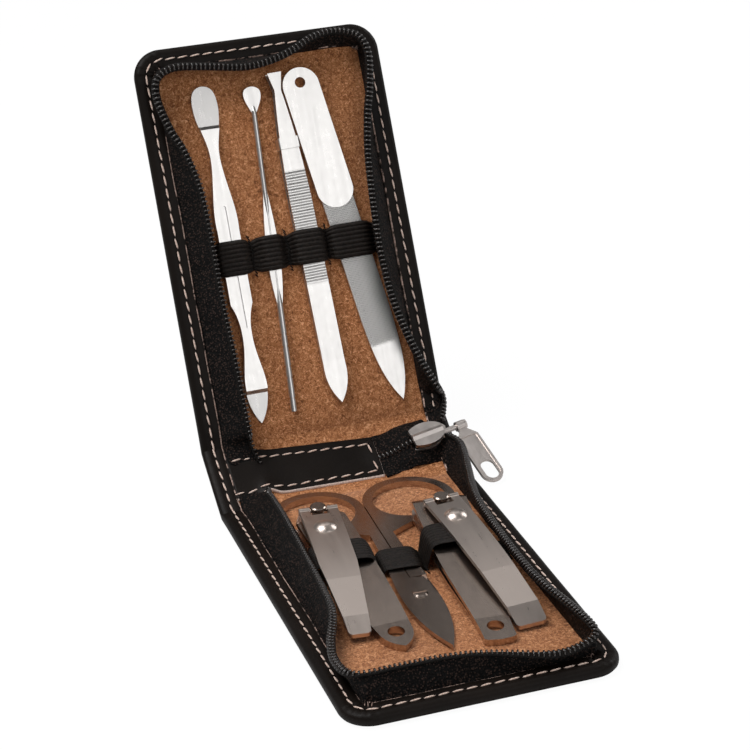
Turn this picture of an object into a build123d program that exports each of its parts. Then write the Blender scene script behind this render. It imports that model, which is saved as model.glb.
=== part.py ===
from build123d import *
import os
from math import cos, hypot, pi, radians, sin, tan

# A zip-up leather case for a manicure set, standing open: the lower leaf lies flat, the
# spine and the upper leaf fold up behind it. Millimetres. The origin is the centre of the
# lower leaf's underside, +X across the case, +Y from the free edge to the spine, +Z up.

# ---- leather case -------------------------------------------------------------------
CASE_WIDTH = 72.0
LEAF_LENGTH = 114.5      # crease to free edge
SPINE_DEPTH = 22.2       # crease to crease, so the inside depth of the closed case
FOLD = 31.5              # each crease is folded by this angle in the shown pose, degrees
CORNER_RADIUS = 8.0
LEATHER = 0.8
BOARD = 1.0
LINING = 0.5
TAPE = 0.4
HEM_WIDTH = 6.0
HEM_CORNER = 3.0
EDGE_ROUND = 1.2
CREASE_SLIT = 0.1        # play between a leaf's leather and the rounded spine edge
LEAF_RELIEF = 2.0        # stiff layers stop this far from the crease
SPINE_RELIEF = 1.2
LAYER_PLAY = 0.2         # play between a layer's edge and the leather turned around it

# ---- zip ----------------------------------------------------------------------------
WALL_LEAN = 2.0          # the tape leans in by this much from foot to top
WALL_CORNER = 8.5
WALL_RISE = 10.0         # length over which the tape climbs from the crease
MEETING_GAP = 0.3        # coil top to the plane where the two halves meet
COIL_WIDTH = 1.9
COIL_CORE = 1.1
TOOTH_HEIGHT = 0.8
TOOTH_LENGTH = 0.7
TOOTH_PITCH = 1.27

# ---- spine patch and the closed tail of the zip --------------------------------------
PATCH_LEFT = 29.6
PATCH_RIGHT = 12.6
PATCH_START = 4.6
PATCH_WIDTH = 12.0
SPINE_HEM_START = 3.8
TAIL_X = 22.6            # mouth of the slider, across the spine
TAIL_S = 11.5            # mouth of the slider, up the spine
TAIL_TURN = 11.0
TAIL_TAPE = 0.5
TAIL_WIDTH = 11.0
TAIL_BEHIND = 8.4        # tape behind the slider's mouth
TAIL_INSIDE = 1.0        # tape and chain inside the slider's mouth
CHAIN_WIDTH = 3.4
CHAIN_CORE = 0.45
CHAIN_TOOTH = 0.35

# ---- slider and pull -----------------------------------------------------------------
SLIDER_LENGTH = 10.7
SLIDER_HALF_MOUTH = 2.6
SLIDER_HALF_WIDTH = 3.5
SLIDER_PLATE = 0.8
SLIDER_LIFT = 0.4        # slider above the turned hem
SLIDER_BORE = 2.2        # room between its two plates
SLIDER_SLOT = 1.2        # slot for the tape in each side
SLIDER_RIDGE = 0.5
POST_LENGTH = 1.8
PULL_PIN_RADIUS = 0.8
PULL_PIN_REACH = 6.7     # past the slider's nose
PULL_COLLAR = 1.3
PULL_PLAY = 0.08
PULL_LENGTH = 21.5
PULL_WIDTH = 6.6
PULL_THICKNESS = 1.1
PULL_EYE_WIDTH = 2.6
PULL_TILT = 4.9          # the pull lies this far up from the spine's plane, on the table
PULL_HOLE_WIDTH = 4.0
PULL_HOLE_LENGTH = 6.6
PULL_RIM = 0.25

# ---- elastic -------------------------------------------------------------------------
ELASTIC = 0.8
ELASTIC_CLEAR = 0.35     # elastic to the tools that it holds
UPPER_BAND_V = 52.7
UPPER_BAND_WIDTH = 10.0
LOWER_BAND_V = 46.8
LOWER_BAND_WIDTH = 11.0
BAND_REACH = 29.2

# ---- tools on the upper leaf ----------------------------------------------------------
TOOL_GAP = 0.1           # tool to lining
PUSHER_X = -17.7
PUSHER_TIP_V = 5.7
PUSHER_ROOM = 12.2       # tip to the leaf's free edge
PUSHER_THICKNESS = 2.2
PUSHER_HALF = 3.15
PICK_X = -8.0
PICK_V = 7.4
PICK_TURN = -2.7
PICK_ROOM = 14.1
PICK_RADIUS = 0.9
PICK_GROOVE = 0.15
PICK_FLAT_HALF = 1.75
TWEEZER_X = 6.0
TWEEZER_V = 7.6
TWEEZER_TURN = 1.7
TWEEZER_ROOM = 11.5
TWEEZER_ARM = 0.9
TWEEZER_HALF = 3.2
TWEEZER_GAP = 1.4        # between the arms at their tips
TWEEZER_JOINED = 12.0
RING_FROM_TIP = 20.4
RING_WIDTH = 3.2
RING_WALL = 0.4
RING_PLAY = 0.15
FILE_X = 24.2
FILE_V = 5.4
FILE_TURN = 8.2
FILE_HALF = 4.65
FILE_THICKNESS = 0.8
FILE_HANDLE_START = 57.8
FILE_ROOM = 9.8
FILE_HANDLE_WIDTH = 10.8
FILE_HANDLE_THICKNESS = 2.0
FILE_TANG = 12.5
FILE_HOLE = 3.1
FILE_PLAY = 0.05

# ---- scissors ------------------------------------------------------------------------
SCISSOR_X = -0.8         # screw
SCISSOR_V = 65.8         # crease to screw
SCISSOR_TURN = 1.8
SCISSOR_THICKNESS = 2.2
SCISSOR_SPLIT = 0.15     # each half stops this far from the middle line
BLADE_LENGTH = 27.0
BLADE_HALF = 5.2
LOOP_DISTANCE = 51.4
LOOP_RADIUS = 10.25
LOOP_RIM = 2.6
STEP_DISTANCE = 8.3
STEP_PLAY = 0.7
SCREW_RADIUS = 1.5
SCREW_PLAY = 0.05
SCREW_HEAD_RADIUS = 2.1
SCREW_HEAD = 0.5

# ---- clippers ------------------------------------------------------------------------
ARM = 1.1                # thickness of each sprung arm
ARM_JOINED = 4.0         # the arms part this far in front of the tail hole
ARM_GAP = 1.6            # half the room between the arms at the pin
PIN_DISTANCE = 56.5      # tail hole to pin
CLIPPER_SLOPE = 4.4      # its head lies on the scissors' loops
CLIPPER_HEIGHT = 4.0     # of the tail hole's middle
TAIL_HOLE_RADIUS = 2.2
JAW_GAP = 1.1            # half the room between the cutting edges
PIN_RADIUS = 1.6
PIN_PLAY = 0.06
PIN_FOOT_RADIUS = 2.5
PIN_FOOT = 0.6
PIN_HEAD_RADIUS = 2.1
PIN_HEAD = 1.1
BAR_RADIUS = 0.55        # cross-bar on which the lever tilts
BAR_REACH = 4.6
BAR_HEIGHT = 3.95        # above the middle between the arms
BAR_PLAY = 0.05
LEVER = 1.1
LEVER_EYE_RADIUS = 1.0
LEVER_FORK_GAP = 2.4     # half the room between the two prongs
LEVER_DOME_RADIUS = 3.4
LEVER_DOME_HEIGHT = 1.2

# ---- levels and planes worked out from the sizes above ---------------------------------
PUSHER_LENGTH = LEAF_LENGTH - PUSHER_TIP_V - PUSHER_ROOM
PICK_LENGTH = LEAF_LENGTH - PICK_V - PICK_ROOM
TWEEZER_LENGTH = LEAF_LENGTH - TWEEZER_V - TWEEZER_ROOM
RING_PLACE = TWEEZER_LENGTH - RING_FROM_TIP
FILE_HANDLE_LENGTH = LEAF_LENGTH - FILE_V - FILE_ROOM - FILE_HANDLE_START
CREASE_Y = LEAF_LENGTH / 2
LINING_TOP = LEATHER + BOARD + LINING
HEM_TOP = LINING_TOP + TAPE + LEATHER
SPINE_LINING_TOP = LEATHER + LINING
SPINE_HEM_TOP = SPINE_LINING_TOP + LEATHER
MEETING_PLANE = (LEATHER + SPINE_DEPTH) / 2
COIL_TOP = MEETING_PLANE - MEETING_GAP
WALL_TOP = COIL_TOP - COIL_CORE - TOOTH_HEIGHT
WALL_FOOT = HEM_WIDTH + 0.1
WALL_FULL = LEAF_RELIEF + WALL_RISE
BEYOND = 2.0             # cutting shapes reach this far past what they cut
HALF_WIDTH = CASE_WIDTH / 2


def folded_plane(crease_y, crease_z, angle):
    """Plane of a panel that rises from a crease: X across, Y away from the crease, and
    Z = 0 on the outer face, half a leather thickness outside the crease."""
    up = (0, -sin(radians(angle)), cos(radians(angle)))
    outside = LEATHER / 2
    origin = (0, crease_y - outside * up[1], crease_z - outside * up[2])
    return Plane(origin=origin, x_dir=(1, 0, 0), z_dir=up)


def turned(base, point, angle):
    """Plane at a point given in another plane's own coordinates, turned about its normal."""
    return Plane(base.location * Location(point, (0, 0, angle)))


def side_view(base):
    """Plane across another one: X along its Y axis, and Y along its normal."""
    return Plane(origin=base.origin, x_dir=base.y_dir, z_dir=base.x_dir)


LOWER_CREASE = (CREASE_Y, LEATHER / 2)
UPPER_CREASE = (
    LOWER_CREASE[0] + SPINE_DEPTH * cos(radians(FOLD)),
    LOWER_CREASE[1] + SPINE_DEPTH * sin(radians(FOLD)),
)
LOWER = Plane(origin=(0, LOWER_CREASE[0], 0), x_dir=(-1, 0, 0), z_dir=(0, 0, 1))
SPINE = folded_plane(*LOWER_CREASE, FOLD)
UPPER = folded_plane(*UPPER_CREASE, 2 * FOLD)

os.makedirs("parts", exist_ok=True)


def write(piece, name):
    """Label a finished piece and write it as one STEP file."""
    piece.part.label = name
    export_step(piece.part, f"parts/{name}.step")


# ---- the two leaves ------------------------------------------------------------------
def leaf_outline(inset, crease, corner):
    """Outline of a leaf, drawn in by an inset, from a distance off the crease outwards."""
    half = HALF_WIDTH - inset
    end = LEAF_LENGTH - inset
    with BuildSketch(mode=Mode.PRIVATE) as outline:
        with BuildLine():
            Polyline((-half, crease), (half, crease), (half, end), (-half, end), close=True)
        make_face()
        fillet(outline.vertices().group_by(Axis.Y)[-1], corner)
    return outline.sketch_local


def make_cover(leaf, name):
    """Leather of one leaf, turned over all round its free edges into a hem."""
    up = Axis(leaf.origin, leaf.z_dir)
    out = Axis(leaf.origin, leaf.y_dir)
    crease = LEATHER / 2 + CREASE_SLIT
    with BuildPart() as cover:
        with BuildSketch(leaf):
            add(leaf_outline(0, crease, CORNER_RADIUS))
        extrude(amount=HEM_TOP)
        underside = cover.edges().group_by(up)[0].sort_by(out)[1:]
        top = cover.edges().group_by(up)[-1].sort_by(out)[1:]
        fillet(underside + top, EDGE_ROUND)
        with BuildSketch(leaf.offset(LEATHER)):
            add(leaf_outline(LEATHER, crease - BEYOND, CORNER_RADIUS - LEATHER))
        extrude(amount=BOARD + LINING + TAPE, mode=Mode.SUBTRACT)
        with BuildSketch(leaf.offset(LEATHER)):
            add(leaf_outline(HEM_WIDTH, crease - BEYOND, HEM_CORNER))
        extrude(amount=HEM_TOP, mode=Mode.SUBTRACT)
        with BuildSketch(leaf.offset(LEATHER)):
            with Locations((0, LEAF_RELIEF - BEYOND)):
                Rectangle(CASE_WIDTH + BEYOND, 2 * BEYOND)
        extrude(amount=HEM_TOP, mode=Mode.SUBTRACT)
    write(cover, name)


def make_layer(leaf, name, level, thickness):
    """A flat layer inside the turned leather: the board or the suede lining."""
    inset = LEATHER + LAYER_PLAY
    with BuildPart() as layer:
        with BuildSketch(leaf.offset(level)):
            add(leaf_outline(inset, LEAF_RELIEF, CORNER_RADIUS - inset))
        extrude(amount=thickness)
    write(layer, name)


def make_zip_tape(leaf, name):
    """Zip tape: a flange sewn in under the hem, and a wall that stands up inside it."""
    inset = LEATHER + LAYER_PLAY
    top_inset = WALL_FOOT + WALL_LEAN
    start = LEAF_RELIEF
    with BuildPart() as tape:
        with BuildSketch(leaf.offset(LINING_TOP)):
            add(leaf_outline(inset, start, CORNER_RADIUS - inset))
        extrude(amount=TAPE)
        with BuildSketch(leaf.offset(LINING_TOP)):
            add(leaf_outline(WALL_FOOT, start, WALL_CORNER))
        with BuildSketch(leaf.offset(WALL_TOP)):
            add(leaf_outline(top_inset, start, WALL_CORNER))
        loft(ruled=True)
        with BuildSketch(leaf.offset(LINING_TOP)):
            add(leaf_outline(WALL_FOOT + TAPE, start - BEYOND, WALL_CORNER - TAPE))
        with BuildSketch(leaf.offset(WALL_TOP)):
            add(leaf_outline(top_inset + TAPE, start - BEYOND, WALL_CORNER - TAPE))
        loft(ruled=True, mode=Mode.SUBTRACT)
        with BuildSketch(side_view(leaf)):
            with BuildLine():
                Polyline(
                    (start - BEYOND, LINING_TOP + TAPE),
                    (start, LINING_TOP + TAPE),
                    (WALL_FULL, WALL_TOP),
                    (WALL_FULL, WALL_TOP + BEYOND),
                    (start - BEYOND, WALL_TOP + BEYOND),
                    close=True,
                )
            make_face()
        extrude(amount=HALF_WIDTH, both=True, mode=Mode.SUBTRACT)
    write(tape, name)


def coil_places():
    """Places and headings of the coil's turns along the top of the tape wall."""
    middle = WALL_FOOT + WALL_LEAN + TAPE / 2
    side = HALF_WIDTH - middle
    end = LEAF_LENGTH - middle
    radius = WALL_CORNER - TAPE / 2
    side_run = end - radius - WALL_FULL
    bend = pi * radius / 2
    front_run = 2 * (side - radius)
    length = 2 * (side_run + bend) + front_run
    count = int(length / TOOTH_PITCH)
    places = []
    for turn in range(count):
        run = (turn + 0.5) * length / count
        mirrored = run > length / 2
        if mirrored:
            run = length - run
        if run < side_run:
            x, y, heading = side, WALL_FULL + run, 90
        elif run < side_run + bend:
            angle = (run - side_run) / radius
            x = side - radius + radius * cos(angle)
            y = end - radius + radius * sin(angle)
            heading = 90 + angle * 180 / pi
        else:
            x, y, heading = side - radius - (run - side_run - bend), end, 180
        if mirrored:
            x, heading = -x, 180 - heading
        places.append(Location((x, y, 0), (0, 0, heading)))
    return places


def make_zip_coil(leaf, name):
    """Zip coil: a cord along the top of the tape with one tooth for each turn."""
    inset = WALL_FOOT + WALL_LEAN + TAPE / 2 - COIL_WIDTH / 2
    corner = WALL_CORNER + (COIL_WIDTH - TAPE) / 2
    with BuildPart() as coil:
        with BuildSketch(leaf.offset(WALL_TOP)):
            add(leaf_outline(inset, WALL_FULL, corner))
            inner = leaf_outline(inset + COIL_WIDTH, WALL_FULL - BEYOND, corner - COIL_WIDTH)
            add(inner, mode=Mode.SUBTRACT)
        extrude(amount=COIL_CORE)
        with BuildSketch(leaf.offset(WALL_TOP + COIL_CORE)):
            with Locations(*coil_places()):
                Rectangle(TOOTH_LENGTH, COIL_WIDTH)
        extrude(amount=TOOTH_HEIGHT)
    write(coil, name)


for leaf, side in ((LOWER, "lower"), (UPPER, "upper")):
    make_cover(leaf, f"{side}_cover")
    make_layer(leaf, f"{side}_board", LEATHER, BOARD)
    make_layer(leaf, f"{side}_lining", LEATHER + BOARD, LINING)
    make_zip_tape(leaf, f"{side}_zip_tape")
    make_zip_coil(leaf, f"{side}_zip_coil")


# ---- spine -----------------------------------------------------------------------------
def make_spine():
    """Leather of the spine with rounded long edges that turn on the creases, a hem at each
    end, the suede that runs across it, and the sewn patch over the zip's tail."""
    with BuildPart() as cover:
        with BuildSketch(side_view(SPINE)):
            with Locations((SPINE_DEPTH / 2, LEATHER / 2)):
                SlotCenterToCenter(SPINE_DEPTH, LEATHER)
        extrude(amount=HALF_WIDTH, both=True)
        with BuildSketch(SPINE):
            with Locations((0, SPINE_DEPTH / 2)):
                Rectangle(CASE_WIDTH, SPINE_DEPTH - 2 * SPINE_HEM_START)
        extrude(amount=SPINE_HEM_TOP)
        with BuildSketch(SPINE.offset(LEATHER)):
            with Locations((0, SPINE_DEPTH / 2)):
                Rectangle(CASE_WIDTH - 2 * LEATHER, SPINE_DEPTH)
        extrude(amount=LINING, mode=Mode.SUBTRACT)
        with BuildSketch(SPINE.offset(LEATHER)):
            with Locations((0, SPINE_DEPTH / 2)):
                Rectangle(CASE_WIDTH - 2 * HEM_WIDTH, SPINE_DEPTH)
        extrude(amount=SPINE_HEM_TOP, mode=Mode.SUBTRACT)
    write(cover, "spine_cover")

    with BuildPart() as lining:
        with BuildSketch(SPINE.offset(LEATHER)):
            with Locations((0, SPINE_DEPTH / 2)):
                width = CASE_WIDTH - 2 * (LEATHER + LAYER_PLAY)
                Rectangle(width, SPINE_DEPTH - 2 * SPINE_RELIEF)
        extrude(amount=LINING)
    write(lining, "spine_lining")

    with BuildPart() as patch:
        with BuildSketch(SPINE.offset(SPINE_LINING_TOP)):
            with Locations(((PATCH_RIGHT - PATCH_LEFT) / 2, PATCH_START + PATCH_WIDTH / 2)):
                Rectangle(PATCH_LEFT + PATCH_RIGHT, PATCH_WIDTH)
        extrude(amount=LEATHER)
    write(patch, "spine_patch")


make_spine()

# The tail of the zip lies on the spine at a slant and climbs into the slider's mouth.
TAIL = turned(SPINE, (TAIL_X, TAIL_S, 0), TAIL_TURN)
TAIL_SIDE = Plane(origin=TAIL.origin, x_dir=TAIL.x_dir, z_dir=-TAIL.y_dir)
SLIDER_BASE = SPINE_HEM_TOP + SLIDER_LIFT
SLIDER_TOP = SLIDER_BASE + 2 * SLIDER_PLATE + SLIDER_BORE
CHAIN_LEVEL = SLIDER_BASE + SLIDER_PLATE + (SLIDER_BORE - TAIL_TAPE) / 2
CLIMB_START = -TAIL_BEHIND / 2
CLIMB_END = -0.4


def make_zip_tail():
    """The closed end of the zip: both tapes side by side, and the chain on them."""
    under = [
        (-TAIL_BEHIND, SPINE_LINING_TOP),
        (CLIMB_START, SPINE_LINING_TOP),
        (CLIMB_END, CHAIN_LEVEL),
        (TAIL_INSIDE, CHAIN_LEVEL),
    ]
    over = [(x, level + TAIL_TAPE) for x, level in under]
    with BuildPart() as tape:
        with BuildSketch(TAIL_SIDE):
            with BuildLine():
                Polyline(*under, *reversed(over), close=True)
            make_face()
        extrude(amount=TAIL_WIDTH / 2, both=True)
    write(tape, "zip_tail_tape")

    core = [(x, level + CHAIN_CORE) for x, level in over]
    climb = (CHAIN_LEVEL - SPINE_LINING_TOP) / (CLIMB_END - CLIMB_START)
    count = int((TAIL_BEHIND + TAIL_INSIDE) / TOOTH_PITCH)
    with BuildPart() as chain:
        with BuildSketch(TAIL_SIDE):
            with BuildLine():
                Polyline(*over, *reversed(core), close=True)
            make_face()
            for tooth in range(count):
                x = -TAIL_BEHIND + (tooth + 0.3) * TOOTH_PITCH
                rise = min(max(x - CLIMB_START, 0), CLIMB_END - CLIMB_START) * climb
                level = SPINE_LINING_TOP + TAIL_TAPE + CHAIN_CORE + rise
                with Locations((x, level + CHAIN_TOOTH * 0.4)):
                    Rectangle(TOOTH_LENGTH, CHAIN_TOOTH * 1.2)
        extrude(amount=CHAIN_WIDTH / 2, both=True)
    write(chain, "zip_tail_chain")


make_zip_tail()


# ---- slider and pull -------------------------------------------------------------------
def slider_outline():
    """Shield shape of the slider's plates, from its mouth at 0 to its nose."""
    with BuildSketch(mode=Mode.PRIVATE) as outline:
        with BuildLine() as edge:
            Spline(
                (0, SLIDER_HALF_MOUTH),
                (SLIDER_LENGTH * 0.55, SLIDER_HALF_WIDTH),
                (SLIDER_LENGTH * 0.85, SLIDER_HALF_WIDTH * 0.62),
                (SLIDER_LENGTH, 0),
            )
            Line((0, 0), (0, SLIDER_HALF_MOUTH))
            mirror(edge.line, about=Plane.XZ)
        make_face()
    return outline.sketch_local


def make_slider():
    """Slider: two plates on a post, with a bore for the chain, a slot in each side for the
    tape, a ridge on its back, and a pin on its nose for the pull."""
    bore_bottom = SLIDER_BASE + SLIDER_PLATE
    bore_half = CHAIN_WIDTH / 2 + SLIDER_LIFT
    slot_middle = CHAIN_LEVEL + TAIL_TAPE / 2
    post_x = SLIDER_LENGTH - 2 * POST_LENGTH
    with BuildPart() as slider:
        with BuildSketch(TAIL.offset(SLIDER_BASE)):
            add(slider_outline())
        extrude(amount=SLIDER_TOP - SLIDER_BASE)
        with BuildSketch(TAIL.offset(bore_bottom)):
            with Locations((post_x / 2 - BEYOND / 2, 0)):
                Rectangle(post_x + BEYOND, 2 * bore_half)
        extrude(amount=SLIDER_BORE, mode=Mode.SUBTRACT)
        with BuildSketch(TAIL.offset(slot_middle - SLIDER_SLOT / 2)):
            with Locations((SLIDER_LENGTH / 2 - BEYOND, 0)):
                Rectangle(SLIDER_LENGTH, 4 * SLIDER_HALF_WIDTH)
            with Locations((post_x + POST_LENGTH / 2, 0)):
                Rectangle(POST_LENGTH, POST_LENGTH, mode=Mode.SUBTRACT)
        extrude(amount=SLIDER_SLOT, mode=Mode.SUBTRACT)
        with BuildSketch(Plane(TAIL.origin, x_dir=TAIL.y_dir, z_dir=TAIL.x_dir)):
            with BuildLine():
                Polyline(
                    (-SLIDER_RIDGE * 2, SLIDER_TOP),
                    (SLIDER_RIDGE * 2, SLIDER_TOP),
                    (0, SLIDER_TOP + SLIDER_RIDGE),
                    close=True,
                )
            make_face()
        extrude(amount=SLIDER_LENGTH - SLIDER_RIDGE * 2)
        with BuildSketch(PIN_END):
            Circle(PULL_PIN_RADIUS)
        extrude(amount=-PULL_PIN_REACH - POST_LENGTH)
        with BuildSketch(PIN_END):
            Circle(PULL_COLLAR)
        extrude(amount=SLIDER_RIDGE)
    write(slider, "zip_slider")


PULL_LEVEL = SLIDER_BASE + PULL_PIN_RADIUS
PIN_END = Plane(
    origin=TAIL.from_local_coords((SLIDER_LENGTH + PULL_PIN_REACH, 0, PULL_LEVEL)),
    x_dir=TAIL.y_dir,
    z_dir=TAIL.x_dir,
)


def make_pull():
    """Pull tab: an eye round the slider's pin and a flat tab with a raised rim and a slot."""
    eye_x = SLIDER_LENGTH + PULL_PIN_REACH - PULL_PLAY - PULL_EYE_WIDTH / 2
    eye_radius = PULL_PIN_RADIUS + PULL_PLAY + PULL_THICKNESS / 2
    tab_start = eye_radius + 0.6
    shoulder = tab_start + 2.5
    half = PULL_WIDTH / 2
    tab = Plane(TAIL.location * Location((eye_x, 0, PULL_LEVEL), (-PULL_TILT, 0, 0)))
    with BuildPart() as pull:
        with BuildSketch(Plane(tab.origin, x_dir=tab.y_dir, z_dir=tab.x_dir)):
            Circle(eye_radius)
            with Locations((-tab_start / 2, 0)):
                Rectangle(tab_start, PULL_THICKNESS)
        extrude(amount=PULL_EYE_WIDTH / 2, both=True)
        with BuildSketch(tab.offset(-PULL_THICKNESS / 2)):
            with BuildLine() as edge:
                Polyline(
                    (0, -tab_start),
                    (PULL_EYE_WIDTH / 2, -tab_start),
                    (half, -shoulder),
                    (half, half - PULL_LENGTH),
                )
                RadiusArc((half, half - PULL_LENGTH), (0, -PULL_LENGTH), half)
                mirror(edge.line, about=Plane.YZ)
            make_face()
        extrude(amount=PULL_THICKNESS)
        field = half - 3 * PULL_RIM
        with BuildSketch(tab.offset(PULL_THICKNESS / 2 - PULL_RIM)):
            with Locations((0, (half - PULL_LENGTH - shoulder) / 2)):
                Rectangle(2 * field, PULL_LENGTH - shoulder - half)
            with Locations((0, half - PULL_LENGTH)):
                Circle(field)
        extrude(amount=PULL_RIM, mode=Mode.SUBTRACT)
        with BuildSketch(tab.offset(-PULL_THICKNESS)):
            with Locations((0, half - PULL_LENGTH + PULL_HOLE_WIDTH / 4)):
                SlotOverall(PULL_HOLE_LENGTH, PULL_HOLE_WIDTH, rotation=90)
        extrude(amount=2 * PULL_THICKNESS, mode=Mode.SUBTRACT)
        with BuildSketch(Plane(tab.origin, x_dir=tab.y_dir, z_dir=tab.x_dir)):
            Circle(PULL_PIN_RADIUS + PULL_PLAY)
        extrude(amount=PULL_EYE_WIDTH, both=True, mode=Mode.SUBTRACT)
    write(pull, "zip_pull")


make_slider()
make_pull()


# ---- tools on the upper leaf --------------------------------------------------------------
TOOL_LEVEL = LINING_TOP + TOOL_GAP


def make_pusher():
    """Cuticle pusher: a round paddle, a fluted grip and a pointed scoop, one forging."""
    base = turned(UPPER, (PUSHER_X, PUSHER_TIP_V, TOOL_LEVEL), 0)
    length = PUSHER_LENGTH
    grip_start = 34.0
    grip_end = 55.0
    scoop_edge = 8.5
    paddle_edge = length - 11.5
    thin = PUSHER_THICKNESS * 0.3
    with BuildPart() as pusher:
        with BuildSketch(base):
            with BuildLine() as edge:
                Spline(
                    (0, 0),
                    (2.3, 4.6),
                    (3.1, scoop_edge + 2),
                    (1.7, 20.5),
                    (1.4, 26),
                    (PUSHER_HALF, grip_start),
                )
                Line((PUSHER_HALF, grip_start), (PUSHER_HALF, grip_end))
                Spline(
                    (PUSHER_HALF, grip_end),
                    (2.7, 64),
                    (1.45, 73.5),
                    (1.4, 77.5),
                    (2.95, paddle_edge),
                    (3.65, length - 5),
                    (2.6, length - 1.2),
                    (0, length),
                )
                mirror(edge.line, about=Plane.YZ)
            make_face()
        extrude(amount=PUSHER_THICKNESS)
        with BuildSketch(side_view(base)):
            with BuildLine():
                Polyline(
                    (-BEYOND, 0),
                    (length + BEYOND, 0),
                    (length + BEYOND, thin),
                    (length, thin),
                    (paddle_edge, 2 * thin),
                    (paddle_edge - 1, PUSHER_THICKNESS),
                    (scoop_edge + 1, PUSHER_THICKNESS),
                    (scoop_edge, 2 * thin),
                    (0, thin),
                    (-BEYOND, thin),
                    close=True,
                )
            make_face()
        extrude(amount=2 * PUSHER_HALF, both=True, mode=Mode.INTERSECT)
        with BuildSketch(base.offset(PUSHER_THICKNESS * 0.8)):
            with Locations((0, (grip_start + grip_end) / 2)):
                SlotOverall(grip_end - grip_start + 14, 0.9, rotation=90)
        extrude(amount=PUSHER_THICKNESS, mode=Mode.SUBTRACT)
    write(pusher, "cuticle_pusher")


def make_pick():
    """Ear pick: a ringed round handle, a flat middle, a thin rod and a spade-shaped scoop."""
    base = turned(UPPER, (PICK_X, PICK_V, TOOL_LEVEL), PICK_TURN)
    axis_line = side_view(base.offset(PICK_RADIUS))
    handle_end = 31.0
    rod_start = 60.0
    head_start = PICK_LENGTH - 7.0
    rod_radius = PICK_RADIUS * 0.85
    groove_length = 0.5
    profile = [(0, 0), (0, PICK_RADIUS)]
    for place in (3.5, 9.4, 12.6, 18.3, 21.7):
        profile += [
            (place, PICK_RADIUS),
            (place, PICK_RADIUS - PICK_GROOVE),
            (place + groove_length, PICK_RADIUS - PICK_GROOVE),
            (place + groove_length, PICK_RADIUS),
        ]
    profile += [
        (handle_end, PICK_RADIUS),
        (handle_end + 4, PICK_RADIUS * 0.6),
        (rod_start - 4, PICK_RADIUS * 0.6),
        (rod_start, rod_radius),
        (head_start, rod_radius),
        (head_start + 1.5, rod_radius * 0.5),
        (head_start + 1.5, 0),
    ]
    flat = PICK_RADIUS * 1.1
    with BuildPart() as pick:
        with BuildSketch(axis_line):
            with BuildLine():
                Polyline(*profile, close=True)
            make_face()
        revolve(axis=Axis(axis_line.origin, axis_line.x_dir))
        with BuildSketch(base.offset(PICK_RADIUS - flat / 2)):
            with BuildLine() as edge:
                Spline(
                    (PICK_RADIUS * 0.5, handle_end - 2),
                    (PICK_FLAT_HALF, handle_end + 9),
                    (PICK_FLAT_HALF, rod_start - 11),
                    (rod_radius * 0.5, rod_start + 4),
                )
                Line((0, handle_end - 2), (PICK_RADIUS * 0.5, handle_end - 2))
                Line((rod_radius * 0.5, rod_start + 4), (0, rod_start + 4))
                mirror(edge.line, about=Plane.YZ)
            make_face()
        extrude(amount=flat)
        with BuildSketch(base.offset(PICK_RADIUS * 0.6)):
            with BuildLine() as edge:
                Line((0, head_start - 1), (rod_radius * 0.6, head_start - 1))
                Spline(
                    (rod_radius * 0.6, head_start - 1),
                    (2.4, PICK_LENGTH - 3.4),
                    (2.5, PICK_LENGTH - 1.8),
                    (0, PICK_LENGTH),
                )
                mirror(edge.line, about=Plane.YZ)
            make_face()
        extrude(amount=PICK_RADIUS * 0.8)
    write(pick, "ear_pick")


def tweezer_outline():
    """Plan of a tweezer arm: pointed where the arms are joined, wide and slanted at the tip."""
    tip = TWEEZER_LENGTH
    with BuildSketch(mode=Mode.PRIVATE) as outline:
        with BuildLine() as edge:
            Spline((0, 0), (2.1, 3.6), (TWEEZER_HALF, 11))
            Line((TWEEZER_HALF, 11), (TWEEZER_HALF, 52))
            Spline((TWEEZER_HALF, 52), (2.5, RING_PLACE), (0.95, tip - 5.2))
            Polyline((0.95, tip - 5.2), (2.05, tip), (0, tip))
            mirror(edge.line, about=Plane.YZ)
        make_face()
    return outline.sketch_local


TWEEZER_BASE = turned(
    UPPER,
    (TWEEZER_X, TWEEZER_V, LINING_TOP + TOOL_GAP + RING_WALL + RING_PLAY),
    TWEEZER_TURN,
)
TWEEZER_BEND = 60.0      # the arms stop parting here


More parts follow.
